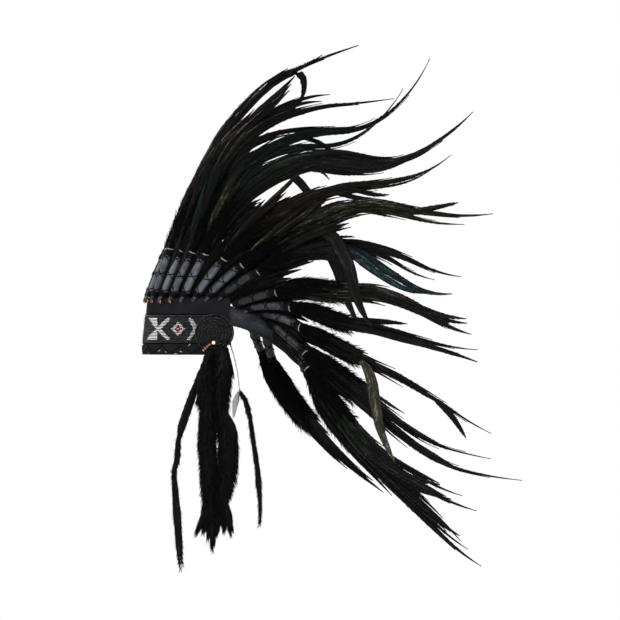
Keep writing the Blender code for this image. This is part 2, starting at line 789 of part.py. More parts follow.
def main():
    """Build the whole headdress."""
    clear_scene()
    materials = make_materials()
    crown_band(materials)
    beaded_browband(materials)
    nape_strap(materials)
    for side in (LEFT, RIGHT):
        temple_drops(side, materials)
    angles = station_angles()
    feather(0, LEFT, 0.0, materials)
    for number in range(1, FEATHERS_PER_SIDE + 1):
        for side in (LEFT, RIGHT):
            feather(number, side, angles[number], materials)


main()
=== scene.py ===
"""Feathered headdress in its worn form: the finished pieces, their materials and the studio.

All sizes are in metres. The wearer faces -Y, +X is the wearer's left and +Z is up. Ring angles are
in degrees round the head: 0 is the middle of the brow, 90 the left temple and 180 the nape.
"""

import logging
import math
import random
from collections.abc import Callable, Iterable, Mapping, Sequence
from dataclasses import dataclass
from enum import Enum
from typing import Any

import bmesh
import bpy
import numpy as np
from mathutils import Matrix, Vector, noise


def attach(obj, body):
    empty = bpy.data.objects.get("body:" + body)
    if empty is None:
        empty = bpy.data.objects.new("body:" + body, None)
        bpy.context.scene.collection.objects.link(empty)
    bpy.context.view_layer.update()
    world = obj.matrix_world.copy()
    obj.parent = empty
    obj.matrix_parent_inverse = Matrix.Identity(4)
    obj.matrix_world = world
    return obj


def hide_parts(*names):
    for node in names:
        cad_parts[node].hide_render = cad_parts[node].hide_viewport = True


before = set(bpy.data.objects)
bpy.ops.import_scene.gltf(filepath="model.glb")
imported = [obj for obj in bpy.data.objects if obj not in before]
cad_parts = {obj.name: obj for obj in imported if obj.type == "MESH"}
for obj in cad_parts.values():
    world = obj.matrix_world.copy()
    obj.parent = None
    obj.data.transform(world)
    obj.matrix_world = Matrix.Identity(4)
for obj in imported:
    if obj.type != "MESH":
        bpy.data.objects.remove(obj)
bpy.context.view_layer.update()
log = logging.getLogger("headdress")

Colour = tuple[float, float, float]
UP = Vector((0.0, 0.0, 1.0))
SURFACE_NUMBERS = ("run", "side", "tint")


class Side(Enum):
    """The side of the wearer that a piece is on."""

    LEFT = 1
    RIGHT = -1

    @property
    def word(self) -> str:
        """The side as it stands in piece names."""
        return self.name.lower()


# ---- Materials ----


@dataclass(frozen=True)
class Wire:
    """A number that varies over a surface, for use in Python expressions."""

    board: "Board"
    socket: bpy.types.NodeSocket

    def maths(self, operation: str, *values: Any) -> "Wire":
        """Run one Math node on values.

        Args:
            operation: The Math node's operation.
            values: Numbers or wires for its sockets, in order.

        Returns:
            The node's result.
        """
        inputs = dict(enumerate(values))
        return self.board.wire(self.board.node("ShaderNodeMath", {"operation": operation}, inputs))

    def __add__(self, other: Any) -> "Wire":
        """This plus other."""
        return self.maths("ADD", self, other)

    __radd__ = __add__

    def __sub__(self, other: Any) -> "Wire":
        """This minus other."""
        return self.maths("SUBTRACT", self, other)

    def __rsub__(self, other: Any) -> "Wire":
        """Other minus this."""
        return self.maths("SUBTRACT", other, self)

    def __mul__(self, other: Any) -> "Wire":
        """This times other."""
        return self.maths("MULTIPLY", self, other)

    __rmul__ = __mul__

    def __abs__(self) -> "Wire":
        """This without its sign."""
        return self.maths("ABSOLUTE", self)

    def sine(self) -> "Wire":
        """The sine of this, in radians."""
        return self.maths("SINE", self)

    def between(self, low: float, high: float) -> "Wire":
        """A smooth step that is 0 below low and 1 above high."""
        settings = {"interpolation_type": "SMOOTHSTEP"}
        inputs = {"Value": self, "From Min": low, "From Max": high}
        return self.board.wire(self.board.node("ShaderNodeMapRange", settings, inputs))


class Board:
    """The nodes of one material, built from top to bottom."""

    def __init__(self, name: str) -> None:
        """Start a material with its surface shader.

        Args:
            name: The material's name.
        """
        self.material = bpy.data.materials.new(name)
        self.material.use_nodes = True
        self.tree = self.material.node_tree
        self.shader = next(n for n in self.tree.nodes if n.type == "BSDF_PRINCIPLED")

    def wire(self, node: bpy.types.Node, output: int | str = 0) -> Wire:
        """One output of a node."""
        return Wire(self, node.outputs[output])

    def plug(self, socket: bpy.types.NodeSocket, value: Any) -> None:
        """Set a socket to a number or colour, or link a wire to it."""
        if isinstance(value, Wire):
            self.tree.links.new(value.socket, socket)
        else:
            socket.default_value = value

    def node(self, kind: str, settings: Mapping[str, Any], inputs: Mapping[Any, Any]) -> bpy.types.Node:
        """Add any node.

        Args:
            kind: The node's type.
            settings: Its properties, set first.
            inputs: Numbers, colours or wires by socket name or number.

        Returns:
            The new node.
        """
        made = self.tree.nodes.new(kind)
        for key, value in settings.items():
            setattr(made, key, value)
        for key, value in inputs.items():
            self.plug(made.inputs[key], value)
        return made

    def attribute(self, name: str) -> Wire:
        """A number that the piece's mesh carries."""
        made = self.node("ShaderNodeAttribute", {"attribute_name": name}, {})
        return self.wire(made, "Fac")

    def place(self) -> Wire:
        """The place on the object, in metres."""
        return self.wire(self.node("ShaderNodeTexCoord", {}, {}), "Object")

    def vector(self, x: Any, y: Any, z: Any) -> Wire:
        """Three numbers as one vector."""
        return self.wire(self.node("ShaderNodeCombineXYZ", {}, {0: x, 1: y, 2: z}))

    def noise(self, where: Wire, scale: float, detail: float = 2.0, rough: float = 0.5) -> Wire:
        """Soft random variation from 0 to 1 at a scale in cells per unit."""
        inputs = {"Vector": where, "Scale": scale, "Detail": detail, "Roughness": rough}
        return self.wire(self.node("ShaderNodeTexNoise", {}, inputs))

    def blend(self, share: Any, first: Any, second: Any) -> Wire:
        """A colour between first and second."""
        made = self.node("ShaderNodeMix", {"data_type": "RGBA"}, {0: share, 6: rgba(first), 7: rgba(second)})
        return self.wire(made, 2)

    def bump(self, height: Wire, depth: float, strength: float = 1.0) -> Wire:
        """A surface normal from a height."""
        inputs = {"Height": height, "Distance": depth, "Strength": strength}
        return self.wire(self.node("ShaderNodeBump", {}, inputs))

    def finish(self, **inputs: Any) -> bpy.types.Material:
        """Fill the shader's sockets and return the material.

        Args:
            inputs: Values by socket name, with underscores for spaces.

        Returns:
            The finished material.
        """
        for name, value in inputs.items():
            self.plug(self.shader.inputs[name.replace("_", " ")], value)
        return self.material


def rgba(colour: Any) -> Any:
    """A colour with its alpha, or a wire as it is."""
    return colour if isinstance(colour, Wire) else (*colour, 1.0)


@dataclass(frozen=True)
class FeltFinish:
    """Stiff wool felt with stray fibres."""

    name: str
    colour: Colour
    fleck: Colour

    def material(self) -> bpy.types.Material:
        """Build the felt."""
        board = Board(self.name)
        place = board.place()
        fibres = board.noise(place, 1400.0, 4.0, 0.7)
        cloud = board.noise(place, 45.0, 3.0)
        shade = (fibres * 0.6 + cloud * 0.5).between(0.35, 0.85)
        return board.finish(
            Base_Color=board.blend(shade, self.colour, self.fleck),
            Roughness=0.82 + fibres * 0.15,
            Normal=board.bump(fibres + cloud * 2.0, 0.0005, 0.6),
            Specular_IOR_Level=0.05,
        )


@dataclass(frozen=True)
class BeadFinish:
    """Pressed glass beads, each a little lighter or darker than the next, the brightest with painted glints.
    """

    name: str
    dark: Colour
    light: Colour
    roughness: float = 0.16
    # The share of pale grey blended into the brightest beads: a painted highlight.
    painted_glint: float = 0.0
    gloss: float = 0.42

    def material(self) -> bpy.types.Material:
        """Build the glass."""
        board = Board(self.name)
        tint = board.attribute("tint")
        swirl = board.noise(board.place(), 900.0, 2.0)
        body = board.blend((tint * 0.8 + swirl * 0.4).between(0.1, 1.1), self.dark, self.light)
        return board.finish(
            # Painted glints: beads with a high tint are blended towards pale grey.
            Base_Color=board.blend(tint.between(0.55, 1.0) * self.painted_glint, body, (0.16, 0.16, 0.165)),
            Roughness=self.roughness + 0.06 * tint,
            Normal=board.bump(swirl, 0.0001, 0.15),
            Specular_IOR_Level=self.gloss,
        )


@dataclass(frozen=True)
class LeatherFinish:
    """Soft leather with grain and creases, paler in worn patches and in a painted highlight down its middle.
    """

    name: str
    colour: Colour
    # The paler colour, for worn patches and for the painted highlight.
    worn: Colour
    roughness: float
    gloss: float

    def material(self) -> bpy.types.Material:
        """Build the leather."""
        board = Board(self.name)
        place = board.place()
        grain = board.wire(board.node("ShaderNodeTexVoronoi", {}, {"Vector": place, "Scale": 900.0}))
        creases = board.noise(place, 160.0, 5.0, 0.62)
        patches = board.noise(place, 38.0, 3.0, 0.55)
        run, side, tint = (board.attribute(name) for name in SURFACE_NUMBERS)
        # Painted highlight: pale streaks along the piece, and a paler band down its middle that darkens
        # towards both edges.
        streaks = board.noise(board.vector(run * 75.0, side * 6.5, tint * 30.0), 1.0, 5.0, 0.7)
        ridge = 1.0 - abs(side + 0.12) * 0.85
        # Creases and patches are wear; the streaks, the middle band and the piece's tint paint highlight and
        # shade.
        wear_and_highlight = (creases * 0.4 + patches * 0.35 + streaks * 0.55 + tint * 0.25).between(0.56, 0.92) * ridge
        return board.finish(
            Base_Color=board.blend(wear_and_highlight, self.colour, self.worn),
            Roughness=self.roughness + 0.25 * creases - 0.1 * wear_and_highlight,
            Normal=board.bump(creases * 2.0 + grain * 0.5, 0.0008, 0.7),
            Specular_IOR_Level=self.gloss,
        )


@dataclass(frozen=True)
class ThreadFinish:
    """Waxed thread with the twist of its plies, painted lighter on their crowns and darker in the grooves
    between them.
    """

    name: str
    colour: Colour
    light: Colour
    gloss: float = 0.5

    def material(self) -> bpy.types.Material:
        """Build the thread."""
        board = Board(self.name)
        run, turn = board.attribute("run"), board.attribute("side")
        plies = (run * 4200.0 + turn * 3.0).sine() * 0.5 + 0.5
        fuzz = board.noise(board.place(), 2500.0, 2.0)
        return board.finish(
            # Painted shade: the colour follows the plies, darker in the grooves and lighter on the crowns;
            # the fuzz is random tone.
            Base_Color=board.blend((plies * 0.6 + fuzz * 0.5).between(0.2, 1.0), self.colour, self.light),
            Roughness=0.45 + 0.3 * fuzz,
            Normal=board.bump(plies, 0.0003, 0.6),
            Specular_IOR_Level=self.gloss,
        )


@dataclass(frozen=True)
class VaneFinish:
    """Long feathers: near black, with slanted barbs, streaks of their own hue and painted sheen, and painted
    glints.
    """

    name: str
    dark: Colour
    # The sheen colour is partly the feather's own hue and partly painted sheen; the glint colour is painted
    # highlight.
    sheen: Colour
    glint: Colour
    strength: float = 0.8

    def material(self) -> bpy.types.Material:
        """Build the vane."""
        board = Board(self.name)
        run, side, tint = (board.attribute(name) for name in SURFACE_NUMBERS)
        slant = run - abs(side) * 0.012
        barbs = board.noise(board.vector(slant * 620.0, side * 1.2, tint * 40.0), 1.0, 2.0, 0.6)
        tufts = board.noise(board.vector(slant * 190.0, side * 2.6, tint * 23.0), 1.0, 3.0, 0.65)
        streaks = board.noise(board.vector(run * 38.0, side * 4.5, tint * 31.0), 1.0, 4.0, 0.65)
        patches = board.noise(board.vector(run * 13.0, side * 0.9, tint * 17.0), 1.0, 2.0)
        # Streaks where the colour turns to the sheen colour: the feather's hue with painted sheen.
        hue_and_sheen_mask = (streaks * 0.9 + tufts * 0.55 + barbs * 0.25 + patches * 0.6).between(1.10, 1.46)
        body = board.blend(hue_and_sheen_mask * self.strength, self.dark, self.sheen)
        # Painted glints: small bright marks within the streaks, in the glint colour.
        painted_glint_mask = (streaks * 0.7 + tufts * 0.4 + barbs * 0.3).between(0.74, 0.92) * patches.between(0.46, 0.60)
        return board.finish(
            Base_Color=board.blend(painted_glint_mask * self.strength, body, self.glint),
            Roughness=0.60 - 0.30 * streaks.between(0.35, 0.7),
            Normal=board.bump(barbs * 0.6 + tufts * 1.6 + streaks, 0.0010, 0.9),
            Specular_IOR_Level=0.07,
        )


@dataclass(frozen=True)
class HairFinish:
    """Down or fur: each hair has its own shade and pales towards its tip."""

    name: str
    dark: Colour
    light: Colour
    roughness: float
    gloss: float

    def material(self) -> bpy.types.Material:
        """Build the hair."""
        board = Board(self.name)
        run, tint = board.attribute("run"), board.attribute("tint")
        clumps = board.noise(board.place(), 210.0, 3.0)
        shade = (tint * 0.7 + run * 0.25 + clumps * 0.45).between(0.45, 1.25)
        return board.finish(
            Base_Color=board.blend(shade, self.dark, self.light),
            Roughness=self.roughness + 0.15 * clumps,
            Normal=board.bump(clumps, 0.001, 0.5),
            Specular_IOR_Level=self.gloss,
        )


@dataclass(frozen=True)
class SuedeFinish:
    """Brushed suede with a soft nap."""

    name: str
    colour: Colour
    shade: Colour

    def material(self) -> bpy.types.Material:
        """Build the suede."""
        board = Board(self.name)
        nap = board.noise(board.place(), 700.0, 4.0, 0.7)
        marks = board.noise(board.place(), 90.0, 3.0)
        return board.finish(
            Base_Color=board.blend((nap * 0.5 + marks * 0.7).between(0.35, 0.85), self.shade, self.colour),
            Roughness=0.8 + 0.15 * nap,
            Normal=board.bump(nap, 0.0004, 0.5),
            Sheen_Weight=0.2,
        )


FELT = FeltFinish("charcoal_felt", (0.0048, 0.0044, 0.0053), (0.0125, 0.0117, 0.0132))
# Black glass: its lighter colour and its pale grey flecks paint highlights on the beads.
BLACK_GLASS = BeadFinish("black_glass", (0.0012, 0.0012, 0.0013), (0.0065, 0.0065, 0.0069), 0.07, 0.46, 0.62)
WHITE_GLASS = BeadFinish("white_glass", (0.70, 0.71, 0.72), (0.92, 0.92, 0.92), 0.3)
CRIMSON_GLASS = BeadFinish("crimson_glass", (0.20, 0.004, 0.022), (0.42, 0.012, 0.055), 0.2)
YELLOW_GLASS = BeadFinish("yellow_glass", (0.72, 0.55, 0.16), (0.90, 0.80, 0.40), 0.14)
BROWN_GLASS = BeadFinish("red_brown_glass", (0.060, 0.014, 0.010), (0.34, 0.25, 0.21), 0.2)
# Leathers: their paler colour is both wear and painted highlight.
SLEEVE_LEATHER = LeatherFinish("sleeve_leather", (0.0016, 0.0018, 0.0023), (0.092, 0.099, 0.116), 0.34, 0.32)
STRAP_LEATHER = LeatherFinish("strap_leather", (0.0008, 0.0009, 0.0012), (0.029, 0.031, 0.036), 0.50, 0.14)
BACKING_LEATHER = LeatherFinish(
    "backing_leather", (0.0008, 0.0008, 0.0009), (0.0016, 0.0016, 0.0018), 0.8, 0.02
)
BLACK_THREAD = ThreadFinish("black_thread", (0.0008, 0.0008, 0.0009), (0.0030, 0.0030, 0.0034), 0.06)
WHITE_THREAD = ThreadFinish("white_thread", (0.20, 0.20, 0.20), (0.55, 0.55, 0.54))
GREY_THREAD = ThreadFinish("grey_thread", (0.05, 0.05, 0.05), (0.19, 0.19, 0.19))
LACE = ThreadFinish("russet_lace", (0.22, 0.050, 0.018), (0.55, 0.20, 0.09))
DOWN = HairFinish("black_down", (0.0008, 0.0008, 0.0009), (0.0062, 0.0062, 0.0066), 0.75, 0.03)
FUR = HairFinish("black_fur", (0.0007, 0.0007, 0.0008), (0.0066, 0.0066, 0.0074), 0.45, 0.06)
SUEDE = SuedeFinish("pale_suede", (0.90, 0.90, 0.89), (0.78, 0.78, 0.77))
# The tie's loose end: the same pale suede painted darker grey, as painted shade.
SHADED_SUEDE = SuedeFinish("worn_suede", (0.26, 0.26, 0.25), (0.12, 0.12, 0.12))


class Sheen(Enum):
    """The colours of the long feathers: their own hues, with painted sheen and painted glints."""

    BLACK = VaneFinish(
        "vane_black", (0.0009, 0.0009, 0.0008), (0.0068, 0.0066, 0.0058), (0.085, 0.083, 0.076), 0.7
    )
    BROWN = VaneFinish(
        "vane_brown", (0.0011, 0.0009, 0.0008), (0.021, 0.0135, 0.0098), (0.15, 0.11, 0.085), 0.8
    )
    GREEN = VaneFinish(
        "vane_green", (0.0009, 0.0011, 0.0009), (0.0095, 0.013, 0.009), (0.09, 0.115, 0.085), 0.8
    )
    TEAL = VaneFinish(
        "vane_teal", (0.0009, 0.0012, 0.0012), (0.006, 0.018, 0.017), (0.055, 0.12, 0.115), 0.8
    )
    AQUA = VaneFinish(
        "vane_aqua", (0.0010, 0.0016, 0.0017), (0.018, 0.058, 0.061), (0.17, 0.34, 0.35), 1.0
    )
    OLIVE = VaneFinish(
        "vane_olive", (0.0011, 0.0011, 0.0008), (0.030, 0.029, 0.0165), (0.28, 0.28, 0.20), 0.9
    )
    TAN = VaneFinish(
        "vane_tan", (0.014, 0.013, 0.0095), (0.210, 0.198, 0.145), (0.50, 0.48, 0.37), 1.0
    )


class Finishes:
    """Each finish made once, when a piece first asks for it."""

    made: dict[str, bpy.types.Material] = {}

    @classmethod
    def get(cls, finish: Any) -> bpy.types.Material:
        """The material of a finish."""
        if finish.name not in cls.made:
            cls.made[finish.name] = finish.material()
        return cls.made[finish.name]


# ---- Modelling ----


@dataclass(frozen=True)
class Spot:
    """A place on a piece with the directions along it, across it and out of its face."""

    centre: Vector
    along: Vector
    across: Vector
    normal: Vector

    @classmethod
    def facing(cls, centre: Vector, along: Vector, face: Vector) -> "Spot":
        """A spot whose face looks as nearly towards face as its line allows."""
        normal = (face - along * face.dot(along)).normalized()
        return cls(centre, along, along.cross(normal), normal)

    def off(self, across: float, normal: float, along: float = 0.0) -> Vector:
        """A point measured from the spot in its own directions."""
        return self.centre + self.across * across + self.normal * normal + self.along * along

    def turned(self, turn: float) -> Vector:
        """The direction along the spot, turned across it by so many radians."""
        return self.along * math.cos(turn) + self.across * math.sin(turn)

    def radial(self, turn: float, width: float, thickness: float) -> Vector:
        """The way out to a turn of a round section of that width and thickness."""
        return self.across * math.cos(turn) * width + self.normal * math.sin(turn) * thickness


@dataclass(frozen=True)
class Station:
    """One cross-section of a swept body."""

    spot: Spot
    width: float
    thickness: float
    run: float = 0.0
    arch: float = 0.0


Profile = Sequence[tuple[float, float]]
Relief = Callable[[float, float], float]


def round_profile(sides: int) -> Profile:
    """The corners of a round section, as shares of its half width and half thickness."""
    return [(math.cos(2 * math.pi * i / sides), math.sin(2 * math.pi * i / sides)) for i in range(sides)]


def slab_profile(steps: int, corner: float) -> Profile:
    """The corners of a flat section with rounded edges.

    Args:
        steps: Points along each face.
        corner: The share of the half width that each rounded edge takes.

    Returns:
        Shares of the half width and half thickness, anticlockwise.
    """
    face = [1.0 - corner - 2.0 * (1.0 - corner) * i / (steps - 1) for i in range(steps)]
    bend = [math.radians(turn) for turn in (67.5, 22.5, -22.5, -67.5)]
    left = [(-1.0 + corner - corner * math.cos(turn), math.sin(turn)) for turn in bend]
    right = [(1.0 - corner + corner * math.cos(turn), math.sin(turn)) for turn in reversed(bend)]
    return [(u, 1.0) for u in face] + left + [(u, -1.0) for u in reversed(face)] + right


class Template:
    """A small closed shape that is set down many times."""

    def __init__(self, shape: bmesh.types.BMesh, runs: Callable[[Vector], float]) -> None:
        """Keep the shape.

        Args:
            shape: The closed shape, round the origin.
            runs: Gives the run of a corner, from 0 at the root to 1 at the tip.
        """
        bmesh.ops.recalc_face_normals(shape, faces=shape.faces)
        self.mesh = bpy.data.meshes.new("template")
        shape.to_mesh(self.mesh)
        shape.free()
        self.runs = [runs(v.co) for v in self.mesh.vertices]
        self.size = len(self.runs)
        self.home = np.array([(*v.co, 1.0) for v in self.mesh.vertices])

    def move(self, place: Matrix) -> bpy.types.Mesh:
        """The shape's mesh, put in place."""
        self.mesh.vertices.foreach_set("co", (self.home @ np.array(place).T)[:, :3].ravel())
        return self.mesh

    @classmethod
    def bead(cls, around: int = 8, rows: int = 4) -> "Template":
        """A rounded bead of unit radius, with its hole along Z."""
        shape = bmesh.new()
        bmesh.ops.create_uvsphere(shape, u_segments=around, v_segments=rows, radius=1.0)
        for corner in shape.verts:
            corner.co.xy *= 1.0 + 0.12 * (1.0 - abs(corner.co.z))
            corner.co.z *= 0.92
        return cls(shape, lambda co: co.z * 0.5 + 0.5)

    @classmethod
    def hair(cls, bend: float) -> "Template":
        """A three-sided hair of unit length along Z that curves towards X by bend."""
        shape = bmesh.new()
        corners = bmesh.ops.create_circle(shape, cap_ends=True, segments=3, radius=0.5)["verts"]
        edges = list({edge for corner in corners for edge in corner.link_edges})
        for height, size in ((0.5, 0.8), (1.0, 0.0)):
            grown = bmesh.ops.extrude_edge_only(shape, edges=edges)["geom"]
            edges = [part for part in grown if isinstance(part, bmesh.types.BMEdge)]
            corners = [part for part in grown if isinstance(part, bmesh.types.BMVert)]
            middle = sum((corner.co for corner in corners), Vector()) / 3
            for corner in corners:
                start = (corner.co - middle) * size
                corner.co = start + Vector((bend * height * height, 0.0, height))
        bmesh.ops.remove_doubles(shape, verts=shape.verts, dist=1e-4)
        return cls(shape, lambda co: co.z)


def stand(base: Vector, direction: Vector, hint: Vector, width: float, depth: float, length: float) -> Matrix:
    """Where a template stands: its Z along direction, its X towards hint.

    Args:
        base: The place of its origin.
        direction: Where its Z axis points.
        hint: Roughly where its X axis points.
        width: Its size along X.
        depth: Its size along Y.
        length: Its size along Z.

    Returns:
        The placing matrix.
    """
    ahead = direction.normalized()
    x = (hint - ahead * hint.dot(ahead)).normalized()
    y = ahead.cross(x)
    made = Matrix.Identity(4)
    for column, axis in enumerate((x * width, y * depth, ahead * length, base)):
        made[0][column], made[1][column], made[2][column] = axis
    return made


class Piece:
    """A mesh in the making, with the numbers that its finish reads at each corner."""

    def __init__(self, name: str) -> None:
        """Start an empty piece."""
        self.name = name
        self.shape = bmesh.new()
        layers = self.shape.verts.layers
        for key in SURFACE_NUMBERS:
            layers.float.new(key)
        self.number = layers.int.new("number")
        self.run, self.side, self.tint = (layers.float.get(key) for key in SURFACE_NUMBERS)

    def sweep(
        self,
        stations: Sequence[Station],
        profile: Profile,
        tint: float = 0.5,
        relief: Relief | None = None,
    ) -> None:
        """Extrude a closed body through its cross-sections.

        Args:
            stations: The cross-sections in order.
            profile: The corners of each section.
            tint: The body's own shade, from 0 to 1.
            relief: Scales a section at a turn from 0 to 1 and a run, for creases.
        """
        ring = bmesh.ops.create_circle(self.shape, cap_ends=False, segments=len(profile), radius=1.0)
        corners = ring["verts"]
        edges = list({edge for corner in corners for edge in corner.link_edges})
        for number, corner in enumerate(corners):
            corner[self.number] = number
        first = edges
        for index, station in enumerate(stations):
            if index:
                grown = bmesh.ops.extrude_edge_only(self.shape, edges=edges)["geom"]
                edges = [part for part in grown if isinstance(part, bmesh.types.BMEdge)]
                corners = [part for part in grown if isinstance(part, bmesh.types.BMVert)]
            for corner in corners:
                number = corner[self.number]
                u, w = profile[number]
                scale = relief(number / len(profile), station.run) if relief else 1.0
                across = u * scale * station.width / 2
                out = w * scale * station.thickness / 2 - station.arch * u * u
                corner.co = station.spot.off(across, out)
                corner[self.run], corner[self.side], corner[self.tint] = station.run, u, tint
        for ends in (first, edges):
            bmesh.ops.edgeloop_fill(self.shape, edges=ends)

    def cord(
        self,
        points: Sequence[Vector],
        size: float,
        hint: Vector,
        sides: int = 5,
        tint: float = 0.5,
        flat: float = 1.0,
    ) -> None:
        """Sweep a thread or lace through points.

        Args:
            points: Its line.
            size: Its width.
            hint: Roughly where its face looks, at every point.
            sides: Corners of its section.
            tint: Its shade.
            flat: Its thickness as a share of its width.
        """
        stations = []
        reach = 0.0
        for index, point in enumerate(points):
            ahead = points[min(index + 1, len(points) - 1)] - points[max(index - 1, 0)]
            if index:
                reach += (point - points[index - 1]).length
            spot = Spot.facing(point, ahead.normalized(), hint)
            stations.append(Station(spot, size, size * flat, reach))
        self.sweep(stations, round_profile(sides), tint)

    def stamp(self, template: Template, places: Iterable[tuple[Matrix, float]]) -> None:
        """Set a template down at every place.

        Args:
            template: The shape.
            places: Its placing matrix and its shade, for each copy.
        """
        start = len(self.shape.verts)
        tints = []
        for place, tint in places:
            self.shape.from_mesh(template.move(place))
            tints.append(tint)
        self.shape.verts.ensure_lookup_table()
        for index in range(start, len(self.shape.verts)):
            corner = self.shape.verts[index]
            corner[self.tint] = tints[(index - start) // template.size]
            corner[self.run] = template.runs[(index - start) % template.size]

    def finish(self, slot: str, finish: Any, *nodes: str, sharp: float = 60.0) -> bpy.types.Object:
        """Make the piece an object that rides on the part.

        Args:
            slot: The record's material slot; not used.
            finish: Its finish.
            nodes: The solids that it stands for.
            sharp: The angle in degrees past which an edge stays sharp.

        Returns:
            The object.
        """
        bmesh.ops.recalc_face_normals(self.shape, faces=self.shape.faces)
        self.shape.verts.layers.int.remove(self.number)
        mesh = bpy.data.meshes.new(self.name)
        self.shape.to_mesh(mesh)
        self.shape.free()
        mesh.shade_smooth()
        mesh.set_sharp_from_angle(angle=math.radians(sharp))
        mesh.materials.append(Finishes.get(finish))
        thing = bpy.data.objects.new(self.name, mesh)
        bpy.context.scene.collection.objects.link(thing)
        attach(thing, "root")
        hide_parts(*nodes)
        log.info("%s: %d faces, %s", self.name, len(mesh.polygons), finish.name)
        return thing


def spread(stops: Sequence[tuple[float, ...]], place: float) -> tuple[float, ...]:
    """Read a table of rows between its stops.

    Args:
        stops: Rows that start with their place, in rising order.
        place: Where to read.

    Returns:
        The other columns at that place.
    """
    if place <= stops[0][0]:
        return stops[0][1:]
    for low, high in zip(stops, stops[1:]):
        if place <= high[0]:
            share = (place - low[0]) / (high[0] - low[0])
            return tuple(a + (b - a) * share for a, b in zip(low[1:], high[1:]))
    return stops[-1][1:]


def wobble(seed: float, place: float) -> float:
    """Smooth random variation from about -1 to 1."""
    return noise.noise(Vector((place, seed * 7.31, seed * 3.17)))


@dataclass(frozen=True)
class Lumps:
    """Soft lumps in a round section: coarse ones, with finer ones on them."""

    around: float
    along: float
    base: float
    coarse: float
    fine: float
    finer: float

    def relief(self, seed: float) -> Relief:
        """The scale of a section at a turn from 0 to 1 and a run, for one seed."""

        def scale(turn: float, run: float) -> float:
            x, y = (part(2 * math.pi * turn) * self.around for part in (math.cos, math.sin))
            place = Vector((x, y, run * self.along + seed))
            return self.base + self.coarse * noise.noise(place) + self.fine * noise.noise(place * self.finer)

        return scale


SLEEVE_CREASES = Lumps(1.3, 70, 1.0, 0.04, 0.03, 3.1)
DOWN_LUMPS = Lumps(1.6, 55, 0.88, 0.10, 0.06, 2.7)
FUR_LUMPS = Lumps(2.2, 22, 0.90, 0.16, 0.08, 2.9)


# ---- The ring round the head ----


@dataclass(frozen=True)
class HeadRing:
    """The oval of the band and of the strap that closes it at the nape."""

    length: float = 0.200
    width: float = 0.160
    height: float = 0.076
    wall: float = 0.002
    lean: float = 0.0073
    end_angle: float = 99.0
    gap: float = 0.0003
    strap_height: float = 0.026
    strap_wall: float = 0.0022
    strap_tuck: float = 10.0
    strap_shoulder: float = 0.066
    strap_nape: float = 0.020

    def point(self, angle: float, height: float, offset: float) -> Vector:
        """A point on the band's outer face, moved out by offset."""
        inward = self.lean * height / self.height - self.wall - offset
        turn = math.radians(angle)
        return Vector(
            (
                (self.width / 2 - inward) * math.sin(turn),
                -(self.length / 2 - inward) * math.cos(turn),
                height,
            )
        )

    def ahead(self, angle: float) -> Vector:
        """The level direction along the band."""
        return (self.point(angle + 0.5, 0.0, 0.0) - self.point(angle - 0.5, 0.0, 0.0)).normalized()

    def normal(self, angle: float) -> Vector:
        """The level direction straight out of the band."""
        return (self.point(angle + 0.5, 0.0, 0.0) - self.point(angle - 0.5, 0.0, 0.0)).cross(UP).normalized()

    def outward(self, angle: float) -> Vector:
        """The direction straight out of the band's leaning face."""
        tilt = math.atan2(self.lean, self.height)
        return (self.normal(angle) * math.cos(tilt) + UP * math.sin(tilt)).normalized()

    def strap_top(self, angle: float) -> float:
        """Height of the strap's upper edge."""
        fall = self.strap_shoulder - self.strap_nape
        return self.strap_shoulder - fall * math.cos(math.radians(angle)) ** 2

    def carrying_wall(self, angle: float) -> tuple[float, float, float]:
        """The outer face's offset, the thickness and the upper edge of the wall under an angle."""
        if abs(angle) <= self.end_angle:
            return 0.0, self.wall, self.height
        return -(self.wall + self.gap), self.strap_wall, self.strap_top(angle)

    def reaches(self, height: float, offset: float) -> list[tuple[float, float]]:
        """Arc length from the brow and angle, in steps of a quarter degree up to the nape."""
        plan = [self.point(i / 4, height, offset).to_2d() for i in range(721)]
        rows, reach = [(0.0, 0.0)], 0.0
        for i in range(1, 721):
            reach += (plan[i] - plan[i - 1]).length
            rows.append((reach, i / 4))
        return rows

    def feet(self, count: int) -> list[float]:
        """Ring angles of the feather feet on one side."""
        rows = self.reaches(self.height, -self.wall / 2)
        pitch = rows[-1][0] / (count + 0.5)
        places = [number * pitch for number in range(count + 1)]
        return [next(angle for reach, angle in rows if reach >= place) for place in places]

    def strip(
        self, angles: Sequence[float], low: float, high: float, offset: float, depth: float
    ) -> list[Station]:
        """Stations of a wall that follows the ring, with its outer face at offset."""
        rows = []
        for angle in angles:
            middle = self.point(angle, (low + high) / 2, offset - depth / 2)
            spot = Spot.facing(middle, self.ahead(angle), self.outward(angle))
            rows.append(Station(spot, high - low, depth, math.radians(angle) * self.width / 2))
        return rows


RING = HeadRing()


def steps(first: float, last: float, count: int) -> list[float]:
    """Evenly spaced numbers from first to last."""
    return [first + (last - first) * i / count for i in range(count + 1)]


